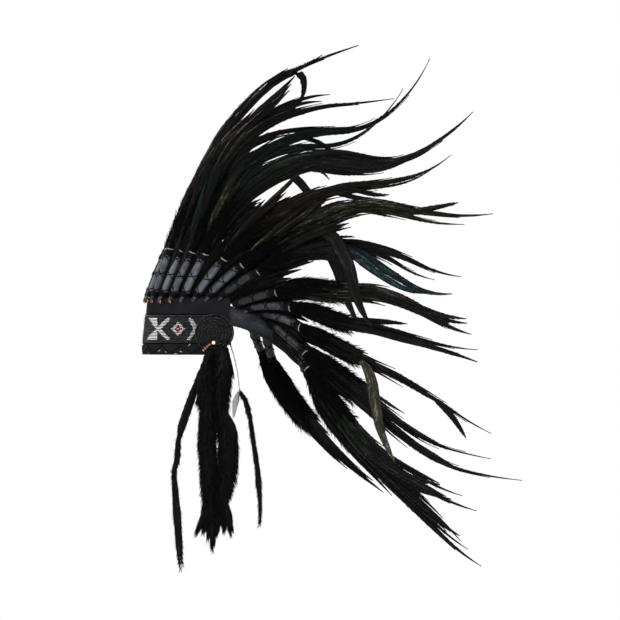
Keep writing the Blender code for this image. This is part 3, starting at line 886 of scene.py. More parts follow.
@dataclass(frozen=True)
class CrownBand:
    """The stiff felt band over the brow and temples, with its lacing and stitches."""

    edging_low: float = 0.0022
    edging_high: float = 0.0122
    edging_pitch: float = 0.0155
    edging_size: float = 0.0015
    stitch_length: float = 0.0034
    stitch_size: float = 0.0007

    STITCHES = (
        (39.5, 0.0053, 20), (47.0, 0.0040, -30), (56.5, 0.0016, 8), (61.0, 0.0045, -16),
        (68.0, 0.0134, 40), (12.0, 0.0035, 10), (24.0, 0.0020, -12),
    )

    def felt(self) -> None:
        """The band itself, slightly uneven, with soft edges."""
        piece = Piece("crown_felt")
        angles = steps(-RING.end_angle, RING.end_angle, 96)
        stations = RING.strip(angles, 0.0, RING.height, 0.0, RING.wall)
        piece.sweep(stations, slab_profile(12, 0.02))
        for corner in piece.shape.verts:
            corner.co += corner.co.to_2d().to_3d().normalized() * 0.0004 * noise.noise(corner.co * 60.0)
        piece.finish("band_felt", FELT, "crown_band")

    def edging(self) -> None:
        """Black yarn in a zigzag along the lower rim."""
        piece = Piece("rim_lacing")
        rows = RING.reaches(0.007, 0.0)
        count = int(spread([(angle, reach) for reach, angle in rows], 88.0)[0] / self.edging_pitch)
        points = []
        for index in range(-count * 4, count * 4 + 1):
            reach = index * self.edging_pitch / 4
            angle = spread(rows, abs(reach))[0] * (1 if reach > 0 else -1)
            fold = abs((index / 4) % 2 - 1)
            height = self.edging_low + (self.edging_high - self.edging_low) * fold
            points.append(RING.point(angle, height, self.edging_size * 0.45))
        piece.cord(points, self.edging_size, UP, 6)
        piece.finish("band_felt", BLACK_THREAD, "crown_band")

    def stitches(self) -> None:
        """Short pale stitches that glint along the rim."""
        piece = Piece("rim_stitches")
        for angle, height, slope in self.STITCHES:
            for sign in (1, -1):
                self.stitch(piece, sign * angle, height, sign * slope, self.stitch_length)
        piece.finish("band_felt", WHITE_THREAD, "crown_band")

    def stitch(self, piece: Piece, angle: float, height: float, slope: float, length: float) -> None:
        """One stitch that dips into the felt at both ends.

        Args:
            piece: The piece that takes it.
            angle: Its ring angle.
            height: Its height.
            slope: Its slope in degrees.
            length: Its length.
        """
        turn = math.radians(slope)
        reach = math.degrees(length * math.cos(turn) / 0.098)
        points = []
        for share in steps(-0.5, 0.5, 5):
            lift = self.stitch_size * (0.35 - 2.6 * share * share)
            points.append(RING.point(angle + reach * share, height + length * math.sin(turn) * share, lift))
        piece.cord(points, self.stitch_size, UP if abs(slope) < 45 else RING.normal(angle), 5)

    def build(self) -> None:
        """Make every piece of the band."""
        self.felt()
        self.edging()
        self.stitches()


class Glass(Enum):
    """Colours of the seed beads in the panel."""

    BLACK = BLACK_GLASS
    WHITE = WHITE_GLASS
    CRIMSON = CRIMSON_GLASS


Corners = tuple[tuple[float, float], ...]


@dataclass(frozen=True)
class Patch:
    """A figure in the beadwork. Its corners are millimetres from the brow and from the middle row."""

    glass: Glass
    corners: Corners

    def covers(self, x: float, y: float) -> bool:
        """Whether a bead at x, y lies in the figure."""
        inside = False
        for (x0, y0), (x1, y1) in zip(self.corners, self.corners[1:] + self.corners[:1]):
            if (y0 > y) != (y1 > y) and x < x0 + (x1 - x0) * (y - y0) / (y1 - y0):
                inside = not inside
        return inside


def lozenge(middle: float, half_width: float, half_height: float, rise: float = 0.0) -> Corners:
    """The corners of a diamond figure."""
    return (
        (middle - half_width, rise),
        (middle, rise + half_height),
        (middle + half_width, rise),
        (middle, rise - half_height),
    )


@dataclass(frozen=True)
class BeadPanel:
    """The beadwork on the front of the band, row on row of seed beads."""

    height: float = 0.040
    wall: float = 0.0028
    rise: float = 0.0145
    end_angle: float = 88.0
    backing: float = 0.0009
    row_pitch: float = 0.00202
    bead_pitch: float = 0.00152
    bead_size: float = 0.00176
    bead_height: float = 0.00094
    seed: int = 11

    PATCHES = (
        Patch(Glass.WHITE, ((30.0, 14.4), (50.8, 14.4), (53.0, 0.0), (51.0, 0.0))),
        Patch(Glass.WHITE, ((29.5, -14.4), (53.6, -14.4), (53.0, 0.0), (51.0, 0.0))),
        Patch(Glass.WHITE, ((51, -1), (59.5, -1), (74.5, 12), (72.5, 14.4), (70, 14.4), (51, 1))),
        Patch(Glass.WHITE, ((51, 1), (59.5, 1), (76, -13), (75, -14.4), (71.5, -14.4), (51, -1))),
        Patch(Glass.WHITE, ((101.8, 14.4), (105.8, 14.4), (113, 5.6), (114.6, 0), (109, 0), (106.4, 5.6))),
        Patch(
            Glass.WHITE, ((101.4, -14.4), (105, -14.4), (112.4, -5.6), (114.6, 0), (109, 0), (106.2, -5.6))
        ),
        Patch(Glass.WHITE, lozenge(87.6, 10.2, 9.4)),
        Patch(Glass.CRIMSON, lozenge(87.6, 5.2, 5.0)),
        Patch(Glass.WHITE, lozenge(87.6, 1.9, 1.6)),
        Patch(Glass.WHITE, lozenge(0.0, 15.0, 5.0, 0.6)),
        Patch(Glass.CRIMSON, ((-9, 14.4), (9, 14.4), (13, 4.4), (4, 4.4), (0, 8.5), (-4, 4.4), (-13, 4.4))),
    )

    def glass_at(self, reach: float, rise: float) -> Glass:
        """The colour of the bead at an arc length from the brow and a height above the middle row."""
        found = Glass.BLACK
        for patch in self.PATCHES:
            if patch.covers(abs(reach) * 1000, rise * 1000):
                found = patch.glass
        return found

    def felt(self) -> None:
        """The thin backing that the beads are sewn to."""
        piece = Piece("panel_backing")
        angles = steps(-self.end_angle, self.end_angle, 80)
        offset = RING.gap + self.backing
        stations = RING.strip(angles, self.rise, self.rise + self.height, offset, self.backing)
        piece.sweep(stations, slab_profile(4, 0.02))
        piece.finish("seed_beads", BACKING_LEATHER, "beaded_browband")

    def beads(self) -> None:
        """Every seed bead, one piece for each colour."""
        draw = random.Random(self.seed)
        offset = RING.gap + self.backing * 0.6 + self.bead_size / 2
        middle = self.rise + self.height / 2
        rows = RING.reaches(middle, offset)
        last = spread([(angle, reach) for reach, angle in rows], self.end_angle - 0.6)[0]
        columns, lines = int(last / self.bead_pitch), int(self.height / self.row_pitch / 2)
        places: dict[Glass, list[tuple[Matrix, float]]] = {glass: [] for glass in Glass}
        for column in range(-columns, columns + 1):
            reach = column * self.bead_pitch
            angle = spread(rows, abs(reach))[0] * (1 if reach > 0 else -1)
            ahead = RING.ahead(angle)
            for line in range(-lines, lines + 1):
                rise = line * self.row_pitch * 0.97
                sway = 0.00007 * wobble(line * 0.37, reach * 70)
                point = RING.point(angle, middle + rise + sway, offset + draw.uniform(-0.00008, 0.00004))
                grown = draw.uniform(0.96, 1.03) / 2
                ahead_here = ahead + random_turn(draw, 0.03)
                deep, high = self.bead_size * grown, self.bead_height * grown
                place = stand(point, ahead_here, RING.outward(angle), deep, high, self.bead_pitch / 2 * 0.96)
                glass, shade = self.glass_at(reach, rise), draw.random()
                # Painted highlights: on black glass every other bead, in a checker, gets a high tint and
                # shows lighter with a glint.
                if glass is Glass.BLACK:
                    shade = 0.75 + 0.25 * shade if (column + line) % 2 == 0 else 0.5 * shade
                places[glass].append((place, shade))
        template = Template.bead()
        for glass, spots in places.items():
            piece = Piece(f"panel_beads_{glass.name.lower()}")
            piece.stamp(template, spots)
            piece.finish("seed_beads", glass.value, "beaded_browband", sharp=180.0)

    def build(self) -> None:
        """Make every piece of the panel."""
        self.felt()
        self.beads()


@dataclass(frozen=True)
class NapeStrap:
    """The leather strap round the nape."""

    crease_depth: float = 0.0007

    def build(self) -> None:
        """Make the strap, soft and creased."""
        piece = Piece("strap_leather_band")
        first = RING.end_angle - RING.strap_tuck
        offset = -RING.wall - RING.gap
        stations = []
        for angle in steps(first, 360.0 - first, 130):
            top = RING.strap_top(angle)
            stations += RING.strip([angle], top - RING.strap_height, top, offset, RING.strap_wall)
        piece.sweep(stations, slab_profile(9, 0.04), 0.4)
        for corner in piece.shape.verts:
            turn = corner.co.to_2d().to_3d().normalized()
            crease = noise.noise(Vector((corner.co.x * 26, corner.co.y * 26, corner.co.z * 70)))
            corner.co -= turn * self.crease_depth * (0.3 + abs(crease))
            corner[piece.tint] = 0.4 + 0.9 * crease
        piece.finish("strap_leather", STRAP_LEATHER, "nape_strap")


# ---- Feathers ----


@dataclass(frozen=True)
class Plume:
    """One pair of feathers. Length and width are shares of the full sizes, headings are degrees above
    the level line that runs to the back, at even steps from foot to tip, and flare leans outwards.
    Right_turn bows the right-hand feather up at its foot and back at its tip. Fullness is how much of
    the width the long vanes fill, and twist turns their faces to the side."""

    length: float
    headings: tuple[float, ...]
    flare: float
    width: float
    right_turn: float
    right_length: float
    sheen: Sheen
    fullness: float = 0.7
    twist: float = 0.0


PLUMES = (
    Plume(0.92, (70, 66, 67, 58, 43, 22, 17), 0, 1.00, 0, 1.00, Sheen.BLACK, 1.05, 22),
    Plume(0.71, (69, 66, 62, 60, 50, 44, 46), 4, 0.95, -2, 0.97, Sheen.BROWN, 1.20, 24),
    Plume(0.73, (70, 71, 66, 54, 40, 28, 0), 8, 1.30, -1, 1.05, Sheen.BROWN, 1.00, 14),
    Plume(0.90, (67, 67, 62, 50, 20, 4, 8), 12, 0.80, 4, 0.90, Sheen.GREEN, 0.80),
    Plume(1.02, (67, 64, 55, 26, 0, 42, 66), 16, 0.95, 5, 0.92, Sheen.TEAL, 0.62),
    Plume(1.03, (65, 61, 44, 14, -12, 30, 46), 19, 1.35, 7, 0.95, Sheen.GREEN, 0.80),
    Plume(0.85, (56, 49, 31, 25, 6, 12, 42), 22, 1.00, 7, 0.96, Sheen.BROWN, 0.74),
    Plume(0.89, (48, 35, 25, 25, -10, -8, 8), 24, 1.10, 7, 0.95, Sheen.OLIVE, 0.82),
    Plume(0.76, (38, 29, 21, 2, -14, -28, -6), 28, 1.00, 6, 0.94, Sheen.BLACK, 0.74),
    Plume(0.73, (22, 12, -9, 1, -20, -32, -12), 28, 1.00, 4, 1.05, Sheen.OLIVE, 0.78),
    Plume(0.70, (10, -5, -23, -8, -15, -14, -3), 28, 0.95, 0, 1.00, Sheen.BLACK, 0.56),
    Plume(0.77, (-6, -30, -28, -25, -30, -35, -26), 27, 0.95, 0, 1.00, Sheen.GREEN, 0.52),
    Plume(0.87, (-40, -43, -39, -41, -34, -12, -5), 25, 1.00, 6, 0.90, Sheen.BLACK, 0.54),
    Plume(0.77, (-51, -60, -55, -48, -31, -30, -14), 22, 1.05, 2, 0.95, Sheen.GREEN, 0.76),
    Plume(0.74, (-69, -62, -54, -44, -42, -41, -48), 17, 1.05, -1, 0.92, Sheen.BLACK, 0.80),
    Plume(0.80, (-73, -65, -51, -45, -46, -45, -31), 10, 1.00, 1, 0.94, Sheen.BLACK, 0.80),
)
RIGHT_PLUMES = {
    10: Plume(0.65, (-82, -66, -57, -52, -48, -39, -38), 16, 1.05, 0, 1.00, Sheen.BLACK, 0.95),
    11: Plume(0.57, (-77, -76, -66, -50, -48, -40, -34), 14, 1.00, 0, 1.00, Sheen.BLACK, 0.95),
}


@dataclass(frozen=True)
class Offshoot:
    """A quill that splits away from a feather. Leaves is the share of the feather where it starts."""

    feather: int
    sides: tuple[Side, ...]
    leaves: float
    length: float
    headings: tuple[float, ...]
    flare: float
    width: float
    sheen: Sheen
    twist: float = 0.0


@dataclass(frozen=True)
class Zone:
    """What the feathers of one stretch of the fan have in common. Opening is the range, in degrees, at
    which their short feathers spread, splay how far their down stands off, and backing the range of
    lengths of the short feathers behind their sleeves."""

    hackles: int
    opening: tuple[float, float]
    splay: float
    backing: tuple[float, float]

    @staticmethod
    def of(number: int) -> "Zone":
        """The zone of a feather, counted from the brow."""
        if number < 3:
            return BROW_ZONE
        return SIDE_ZONE if number < 9 else NAPE_ZONE


BROW_ZONE = Zone(5, (1, 15), 0.45, (0.090, 0.120))
SIDE_ZONE = Zone(12, (-18, 18), 0.80, (0.090, 0.120))
NAPE_ZONE = Zone(4, (-8, 3), 0.55, (0.070, 0.085))
LEFT, RIGHT = (Side.LEFT,), (Side.RIGHT,)
BOTH = LEFT + RIGHT
OFFSHOOTS = (
    Offshoot(0, LEFT, 0.69, 0.20, (34, 33, 30, 5, -80, -103, -112), 6, 1.4, Sheen.BLACK, 76),
    Offshoot(0, LEFT, 0.74, 0.14, (26, 26, 34), 3, 0.8, Sheen.BLACK),
    Offshoot(2, BOTH, 0.50, 0.30, (53, 44, 43), 6, 1.2, Sheen.BROWN),
    Offshoot(2, LEFT, 0.52, 0.30, (47, 38, 28, 8), 4, 2.1, Sheen.GREEN, 34),
    Offshoot(3, BOTH, 0.48, 0.24, (38, 14, -8), 7, 0.7, Sheen.BLACK),
    Offshoot(4, BOTH, 0.56, 0.16, (-2, -34, -50), -4, 0.8, Sheen.BLACK),
    Offshoot(5, RIGHT, 0.48, 0.18, (-24, -50, -54), 7, 1.5, Sheen.BLACK),
    Offshoot(5, BOTH, 0.52, 0.26, (-4, -8, 20), 6, 1.3, Sheen.GREEN),
    Offshoot(6, BOTH, 0.62, 0.14, (-6, -16, 6), 6, 0.9, Sheen.BLACK),
    Offshoot(7, BOTH, 0.36, 0.42, (22, -60, -78, -54), 9, 2.3, Sheen.BLACK),
    Offshoot(7, BOTH, 0.74, 0.14, (-4, 12, 14), 5, 0.9, Sheen.OLIVE),
    Offshoot(8, BOTH, 0.48, 0.42, (-4, -38, -30, 6), 7, 1.3, Sheen.AQUA),
    Offshoot(9, BOTH, 0.66, 0.24, (-26, -20, -4), 5, 0.9, Sheen.BLACK),
    Offshoot(10, LEFT, 0.44, 0.42, (-18, -14, -20), 5, 1.1, Sheen.BLACK),
    Offshoot(11, LEFT, 0.42, 0.36, (-44, -86, -74, -58), 9, 1.9, Sheen.TAN),
    Offshoot(11, LEFT, 0.74, 0.16, (-38, -52, -60), 4, 1.1, Sheen.BLACK),
    Offshoot(12, BOTH, 0.58, 0.20, (-36, -30, -28), 5, 1.0, Sheen.BLACK),
    Offshoot(13, BOTH, 0.50, 0.30, (-46, -30, -24), 5, 1.1, Sheen.GREEN),
    Offshoot(14, BOTH, 0.60, 0.22, (-40, -24, -10), 5, 1.0, Sheen.BLACK),
    Offshoot(15, LEFT, 0.56, 0.26, (-42, -40, -30), 6, 1.0, Sheen.BLACK),
)


class Path:
    """A smooth curve that starts at base and turns through its headings."""

    STEPS = 60

    def __init__(
        self, base: Vector, side: Side, length: float, headings: Sequence[float], flare: float
    ) -> None:
        """Walk the curve once and keep its points.

        Args:
            base: Where it starts.
            side: The side that it leans out to.
            length: Its length.
            headings: Degrees above the level line, at even steps.
            flare: Degrees that it leans out.
        """
        self.side, self.length, self.headings, self.flare = side, length, headings, flare
        self.points = [base]
        for i in range(self.STEPS):
            self.points.append(self.points[-1] + self.along((i + 0.5) / self.STEPS) * (length / self.STEPS))

    def along(self, share: float) -> Vector:
        """The direction of travel at a share of the length."""
        place = min(max(share, 0.0), 1.0) * (len(self.headings) - 1)
        low = min(int(place), len(self.headings) - 2)
        here, there = self.headings[low], self.headings[low + 1]
        rise = math.radians(here + (there - here) * (place - low))
        out = math.radians(self.flare)
        return Vector(
            (self.side.value * math.sin(out), math.cos(out) * math.cos(rise), math.cos(out) * math.sin(rise))
        )

    def at(self, share: float) -> Vector:
        """The point at a share of the length."""
        place = min(max(share, 0.0), 1.0) * self.STEPS
        low = min(int(place), self.STEPS - 1)
        return self.points[low].lerp(self.points[low + 1], place - low)

    def shift(self, move: Vector) -> None:
        """Move the whole curve."""
        self.points = [point + move for point in self.points]


@dataclass(frozen=True)
class Strand:
    """One long feather of a bundle. Across and width are shares of the bundle's width, start and end
    shares of its length, lift a share of its thickness and splay how far its tip strays, in metres."""

    across: float
    width: float
    start: float
    end: float
    lift: float
    splay: float


STRANDS = (
    Strand(0.00, 0.66, 0.00, 1.00, 0.0, 0.0),
    Strand(-0.26, 0.50, 0.00, 0.72, 0.35, -0.0025),
    Strand(0.27, 0.48, 0.02, 0.86, -0.30, 0.0012),
    Strand(0.42, 0.34, 0.00, 0.48, 0.40, 0.0045),
    Strand(-0.42, 0.32, 0.00, 0.40, -0.40, -0.0040),
    Strand(0.12, 0.36, 0.05, 0.62, 0.55, 0.0025),
)
SPLIT_STRANDS = (Strand(0.0, 0.84, 0.0, 1.0, 0.0, 0.0), Strand(-0.24, 0.50, 0.03, 0.84, 0.25, -0.0012))
LANCE = ((0.0, 0.40), (0.15, 0.86), (0.40, 1.0), (0.70, 0.80), (0.90, 0.42), (1.0, 0.04))
SPLIT_WIDTHS = ((0.0, 0.60), (0.18, 0.95), (0.36, 1.0), (0.52, 0.92), (0.68, 0.76), (0.84, 0.50), (1.0, 0.0))
SLEEVE_SIZES = (
    (0.0, 0.72), (0.02, 0.92), (0.07, 0.98), (0.5, 1.04), (0.93, 0.96), (0.975, 0.99), (1.0, 0.86)
)
TAB = ((0.0015, 0.0038), (0.0042, 0.0036), (0.0068, 0.0024))
TAB_WIDTH, TAB_FLATNESS = 0.0050, 0.45
LACE_WIDTHS = ((0.0, 0.0015), (0.3, 0.0022), (0.65, 0.0020), (1.0, 0.0008))
SOLID_SLEEVE = ((0.0, 0.72), (0.06, 1.0), (0.94, 0.94))
SOLID_DOWN = ((0.05, 0.60, 0.88), (0.32, 1.0, 1.0), (0.70, 1.05, 0.80), (1.0, 1.0, 0.36))
SOLID_VANE = (
    (0.14, 1.16), (0.28, 1.20), (0.42, 1.10), (0.56, 0.95), (0.68, 0.76), (0.79, 0.54), (0.90, 0.34),
    (1.0, 0.0),
)
Line = list[tuple[Spot, float]]
Sizes = Callable[[float], tuple[float, float]]


@dataclass
class Feather:
    """A leather sleeve with its lashing, the down above it and the long feathers bound into it."""

    number: int
    side: Side
    angle: float

    sleeve_length: float = 0.068
    sleeve_diameter: float = 0.0112
    down_length: float = 0.090
    down_width: float = 0.0235
    down_thickness: float = 0.0110
    full_length: float = 0.500
    vane_width: float = 0.0200
    vane_thickness: float = 0.0030
    split_width: float = 0.0090
    split_thickness: float = 0.0024
    tip_width: float = 0.0016
    shingle: float = 14.0
    blade: float = 0.0011
    shaft: float = 0.0008
    thread: float = 0.0014
    lash_turns: float = 2.1
    down_tufts: int = 760
    down_swell: float = 1.12
    hanging_swell: float = 1.40
    backing_reach: float = 0.0095
    outer_taper: float = 0.30
    far_width: float = 0.85
    narrowest: float = 0.0009
    narrowest_backing: float = 0.0012
    tie_height: float = 0.985
    spacer_rise: float = 0.042
    lace_drop: float = 0.0034
    lace_out: float = 0.0032

    def __post_init__(self) -> None:
        """Lay out the feather's line where its solid stands."""
        row = PLUMES[self.number]
        turn, stretch = 0.0, 1.0
        if self.side is Side.RIGHT:
            row = RIGHT_PLUMES.get(self.number, row)
            turn, stretch = row.right_turn, row.right_length
        self.row, self.zone = row, Zone.of(self.number)
        self.label = "centre" if self.number == 0 else f"{self.side.word}_{self.number:02d}"
        self.node = f"feather_{self.label}"
        self.draw = random.Random(self.number * 2 + (self.side is Side.RIGHT))
        self.length = row.length * self.full_length * stretch
        sign = self.side.value
        outside, wall, top = RING.carrying_wall(self.angle)
        foot = RING.point(sign * self.angle, top, outside - wall / 2)
        last = len(row.headings) - 1
        headings = [heading + turn * (1 - 2 * i / last) for i, heading in enumerate(row.headings)]
        self.path = Path(foot, self.side, self.length, headings, row.flare)
        looks = math.radians(min(90.0, self.angle * 1.35))
        self.face = Vector((sign * math.sin(looks), -math.cos(looks), 0.0))
        self.path.shift(self.seating())

    def spot(self, distance: float, path: Path | None = None, twist: float = 0.0) -> Spot:
        """The spot at a distance up a line.

        Args:
            distance: How far up, in metres.
            path: The line, or the feather's own.
            twist: How far its face turns towards the side, in degrees.

        Returns:
            The spot, with its face as the feather's.
        """
        path = path or self.path
        along = path.along(distance / path.length)
        face = Matrix.Rotation(math.radians(self.side.value * (self.shingle + twist)), 3, along) @ self.face
        return Spot.facing(path.at(distance / path.length), along, face)

    def seating(self) -> Vector:
        """How far the solid's foot lies from where the line starts."""
        spot = self.spot(0.0)
        size = SOLID_SLEEVE[0][1] * self.sleeve_diameter / 2
        ring = [spot.off(u * size, w * size) for u, w in round_profile(6)]
        near = [v.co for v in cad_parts[self.node].data.vertices if (v.co - ring[0]).length < 0.03]
        for corner in near:
            move = corner - ring[0]
            if all(min((other - point - move).length for other in near) < 5e-5 for point in ring):
                return move
        raise ValueError(f"the foot of {self.node} wasn't found")

    def size_at(self, distance: float) -> tuple[float, float]:
        """The solid's width and thickness at a distance up the feather."""
        sleeve, down = self.sleeve_length, self.down_length
        rows = [
            (share * sleeve, size * self.sleeve_diameter, size * self.sleeve_diameter)
            for share, size in SOLID_SLEEVE
        ]
        for share, width, thickness in SOLID_DOWN:
            rows.append((sleeve + share * down, width * self.down_width, thickness * self.down_thickness))
        vane = self.length - sleeve - down
        wide = self.vane_width * self.row.width - self.tip_width
        for share, width in SOLID_VANE:
            rows.append((sleeve + down + share * vane, self.tip_width + width * wide, self.vane_thickness))
        return spread(rows, distance)

    def sleeve(self) -> None:
        """The leather tube, creased and hemmed, with the tab at its foot."""
        piece = Piece(f"sleeve_{self.label}")
        # Painted shade: the centre sleeve and those from row 8 back get a low tint and stay dark; the others
        # get a high tint and more painted highlight.
        tint = self.draw.uniform(0.2, 0.9) if 0 < self.number < 8 else self.draw.uniform(-0.9, 0.0)
        creases = SLEEVE_CREASES.relief(self.draw.uniform(0, 50))
        stations = []
        for share in steps(0.0, 1.0, 34):
            size = self.sleeve_diameter * spread(SLEEVE_SIZES, share)[0]
            distance = share * self.sleeve_length
            stations.append(Station(self.spot(distance), size, size, distance))
        piece.sweep(stations, round_profile(18), tint, creases)
        angle = self.side.value * self.angle
        outside, _, top = RING.carrying_wall(self.angle)
        heel = self.spot(0.0)
        points = [heel.off(0.0, self.sleeve_diameter * 0.30, 0.002)]
        for drop, out in TAB:
            points.append(RING.point(angle, top, outside + out) - heel.along * drop)
        piece.cord(points, TAB_WIDTH, RING.normal(angle), 10, self.draw.uniform(-0.3, 0.3), TAB_FLATNESS)
        piece.finish("feather", SLEEVE_LEATHER, self.node)

    def bindings(self) -> None:
        """Black thread: a collar at each end of the sleeve and the lashing crossed between them."""
        piece = Piece(f"lashing_{self.label}")
        low, high = 0.115, 0.845
        for start, end in ((-0.050, low), (high, 0.96)):
            pitch = self.thread * 0.98
            wraps = max(3, round((end - start) * self.sleeve_length / pitch))
            stations = []
            for index in range(wraps * 4 + 1):
                distance = start * self.sleeve_length + index * pitch / 4
                ridge = 0.2 + 0.8 * math.sin(math.pi * (index / 4 % 1))
                size = self.sleeve_diameter * 0.98 + self.thread * ridge
                if index in (0, wraps * 4):
                    size = self.sleeve_diameter * 0.7
                stations.append(Station(self.spot(distance), size, size, distance))
            piece.sweep(stations, round_profile(14), self.draw.random())
        first = self.draw.uniform(-0.06, 0.06)
        for hand in (1, -1):
            points = []
            for share in steps(low, high, 56):
                spot = self.spot(share * self.sleeve_length)
                turn = 2 * math.pi * (hand * self.lash_turns * (share - low) / (high - low) + 0.25 + first)
                size = self.sleeve_diameter * 0.52 + self.thread * 0.22
                points.append(spot.off(size * math.cos(turn), size * math.sin(turn)))
            middle = self.spot(0.5 * self.sleeve_length)
            piece.cord(points, self.thread, middle.along, 5, self.draw.random())
        piece.finish("feather", BLACK_THREAD, self.node)

    def tie(self) -> None:
        """A turn of pale thread round the sleeve's upper end."""
        piece = Piece(f"tie_{self.label}")
        spot = self.spot(self.sleeve_length * self.tie_height)
        size = self.sleeve_diameter * 0.54
        tilt = self.draw.uniform(-0.0014, 0.0014)
        points = []
        first = self.draw.uniform(5.0, 60.0)
        for turn in steps(first, first + self.draw.uniform(75.0, 115.0), 12):
            angle = math.radians(turn)
            points.append(spot.off(size * math.cos(angle), size * math.sin(angle), tilt * math.cos(angle)))
        piece.cord(points, self.thread * 0.5, spot.along, 5)
        piece.finish("feather", WHITE_THREAD, self.node, sharp=180.0)

    def lace(self, shifts: Sequence[float]) -> None:
        """The russet lace ends that show below the foot of the front sleeves.

        Args:
            shifts: The ring angle of each end, from the feather's own.
        """
        piece = Piece(f"lace_{self.label}")
        for shift in shifts:
            angle = self.side.value * self.angle + shift
            length = self.draw.uniform(0.0032, 0.0048)
            stations = []
            for share, width in LACE_WIDTHS:
                height = RING.height - self.lace_drop - length * share
                point = RING.point(angle + 0.5 * share, height, self.lace_out)
                spot = Spot.facing(point, -UP, RING.normal(angle))
                stations.append(Station(spot, width, width * 0.8, share * length))
            piece.sweep(stations, round_profile(6), self.draw.random())
        piece.finish("feather", LACE, self.node)

    def swell(self) -> float:
        """How far the down stands out past the solid, most on the two that hang behind the strap."""
        behind = self.side is Side.RIGHT and self.number in RIGHT_PLUMES
        return self.hanging_swell if behind else self.down_swell

    def down(self) -> None:
        """The soft down above the sleeve."""
        piece = Piece(f"down_{self.label}")
        start, end = self.sleeve_length * 0.96, self.sleeve_length + self.down_length * 1.08
        lumps = DOWN_LUMPS.relief(self.draw.uniform(0, 50))
        stations = []
        for share in steps(0.0, 1.0, 26):
            distance = start + (end - start) * share
            width, thickness = self.size_at(distance)
            close = 1.0 - 0.85 * max(0.0, (share - 0.82) / 0.18) ** 2
            full = close * self.swell()
            stations.append(Station(self.spot(distance), width * full, thickness * full, 0.3))
        piece.sweep(stations, round_profile(16), 0.25, lumps)
        places = []
        for _ in range(self.down_tufts):
            share = self.draw.random() ** 0.85
            distance = start + (end - start) * share * 0.97
            width, thickness = (size * self.swell() / self.down_swell for size in self.size_at(distance))
            spot = self.spot(distance)
            turn = self.draw.uniform(0, 2 * math.pi)
            radial = spot.radial(turn, width, thickness)
            base = spot.centre + radial * 0.44
            splay = self.draw.uniform(0.15, self.zone.splay)
            ahead = spot.along + radial.normalized() * splay + random_turn(self.draw, 0.25)
            length = self.draw.uniform(0.006, 0.0145)
            places.append((tuft(base, ahead, spot.along, length), self.draw.random()))
        piece.stamp(TUFT, places)
        piece.finish("feather", DOWN, self.node, sharp=180.0)

    def ribbon(self, piece: Piece, line: Line, barbs: int) -> None:
        """One feather: its blade, its shaft and the barbs along its edges.

        Args:
            piece: The piece that takes it.
            line: Its spots and widths from root to tip.
            barbs: How many loose barbs there are on each side of each spot.
        """
        tint, seed = self.draw.random(), self.draw.uniform(0, 90)
        reach, stations = 0.0, []
        for index, (spot, width) in enumerate(line):
            if index:
                reach += (spot.centre - line[index - 1][0].centre).length
            ragged = 1.0 + 0.10 * wobble(seed, reach * 90) + 0.07 * wobble(seed + 5, reach * 250)
            own = max(self.narrowest, width * ragged)
            stations.append(Station(spot, own, min(self.blade, own), reach, own * 0.10))
        piece.sweep(stations, round_profile(8), tint)
        if line[len(line) // 2][1] > 0.0045:
            piece.cord([spot.off(0.0, 0.0004) for spot, _ in line], self.shaft, self.face, 4, tint)
        places = []
        last = len(line) - 1
        for index, (spot, width) in enumerate(line[1:], 1):
            if index > last * 0.86 or width < 0.003:
                continue
            for sign in (1, -1):
                for _ in range(barbs):
                    opening = math.radians(self.draw.uniform(4, 13))
                    ahead = spot.turned(sign * opening)
                    ahead += spot.normal * self.draw.uniform(-0.10, 0.06)
                    base = spot.off(sign * width * self.draw.uniform(0.24, 0.42), -width * 0.04)
                    size = self.draw.uniform(0.0005, 0.0009)
                    length = self.draw.uniform(0.0045, 0.0085)
                    places.append((stand(base, ahead, spot.across * sign, size, BARB_DEPTH, length), tint))
        piece.stamp(BARB, places)

    def strand(
        self, piece: Piece, path: Path, sizes: Sizes, strand: Strand, first: float, twist: float = 0.0
    ) -> None:
        """One long feather of a bundle.

        Args:
            piece: The piece that takes it.
            path: The line that the bundle follows.
            sizes: The bundle's width and thickness at a distance up the line.
            strand: Its place in the bundle.
            first: The distance at which the bundle comes into view.
            twist: How far its face turns towards the side, in degrees.
        """
        seed = self.draw.uniform(0, 90)
        begin = first + (path.length - first) * strand.start
        end = first + (path.length - first) * strand.end
        line = []
        for share in steps(0.0, 1.0, max(14, round((end - begin) / 0.009))):
            distance = begin + (end - begin) * share
            width, thickness = sizes(distance)
            spot = self.spot(distance, path, twist)
            taper = min(1.0, 0.4 + share * 5)
            if strand.end < 1.0:
                taper *= spread(LANCE, share)[0]
            wander = 0.05 * wobble(seed, distance * 30)
            across = (strand.across + wander) * width + strand.splay * share**2
            centre = spot.off(across, strand.lift * thickness)
            own = max(self.narrowest if strand.end < 1.0 else 0.0010, strand.width * width * taper)
            line.append((Spot(centre, spot.along, spot.across, spot.normal), own))
        self.ribbon(piece, line, 2)

    def vanes(self) -> None:
        """The long feathers of the bundle, the short ones round them, and the quills that split away."""
        first = self.sleeve_length + self.down_length * 0.45
        groups: dict[Sheen, Piece] = {self.row.sheen: Piece(f"vane_{self.label}")}

        def group(sheen: Sheen) -> Piece:
            if sheen not in groups:
                groups[sheen] = Piece(f"vane_{self.label}_{sheen.name.lower()}")
            return groups[sheen]

        far = self.far_width if self.side is Side.RIGHT else 1.0

        def sizes(distance: float) -> tuple[float, float]:
            width, thickness = self.size_at(distance)
            outer = min(1.0, max(0.0, distance / self.length - 0.42) / 0.35)
            slimmer = 1.0 - (self.outer_taper if self.number > 1 else 0.0) * outer
            return width * self.row.fullness * slimmer * far, thickness

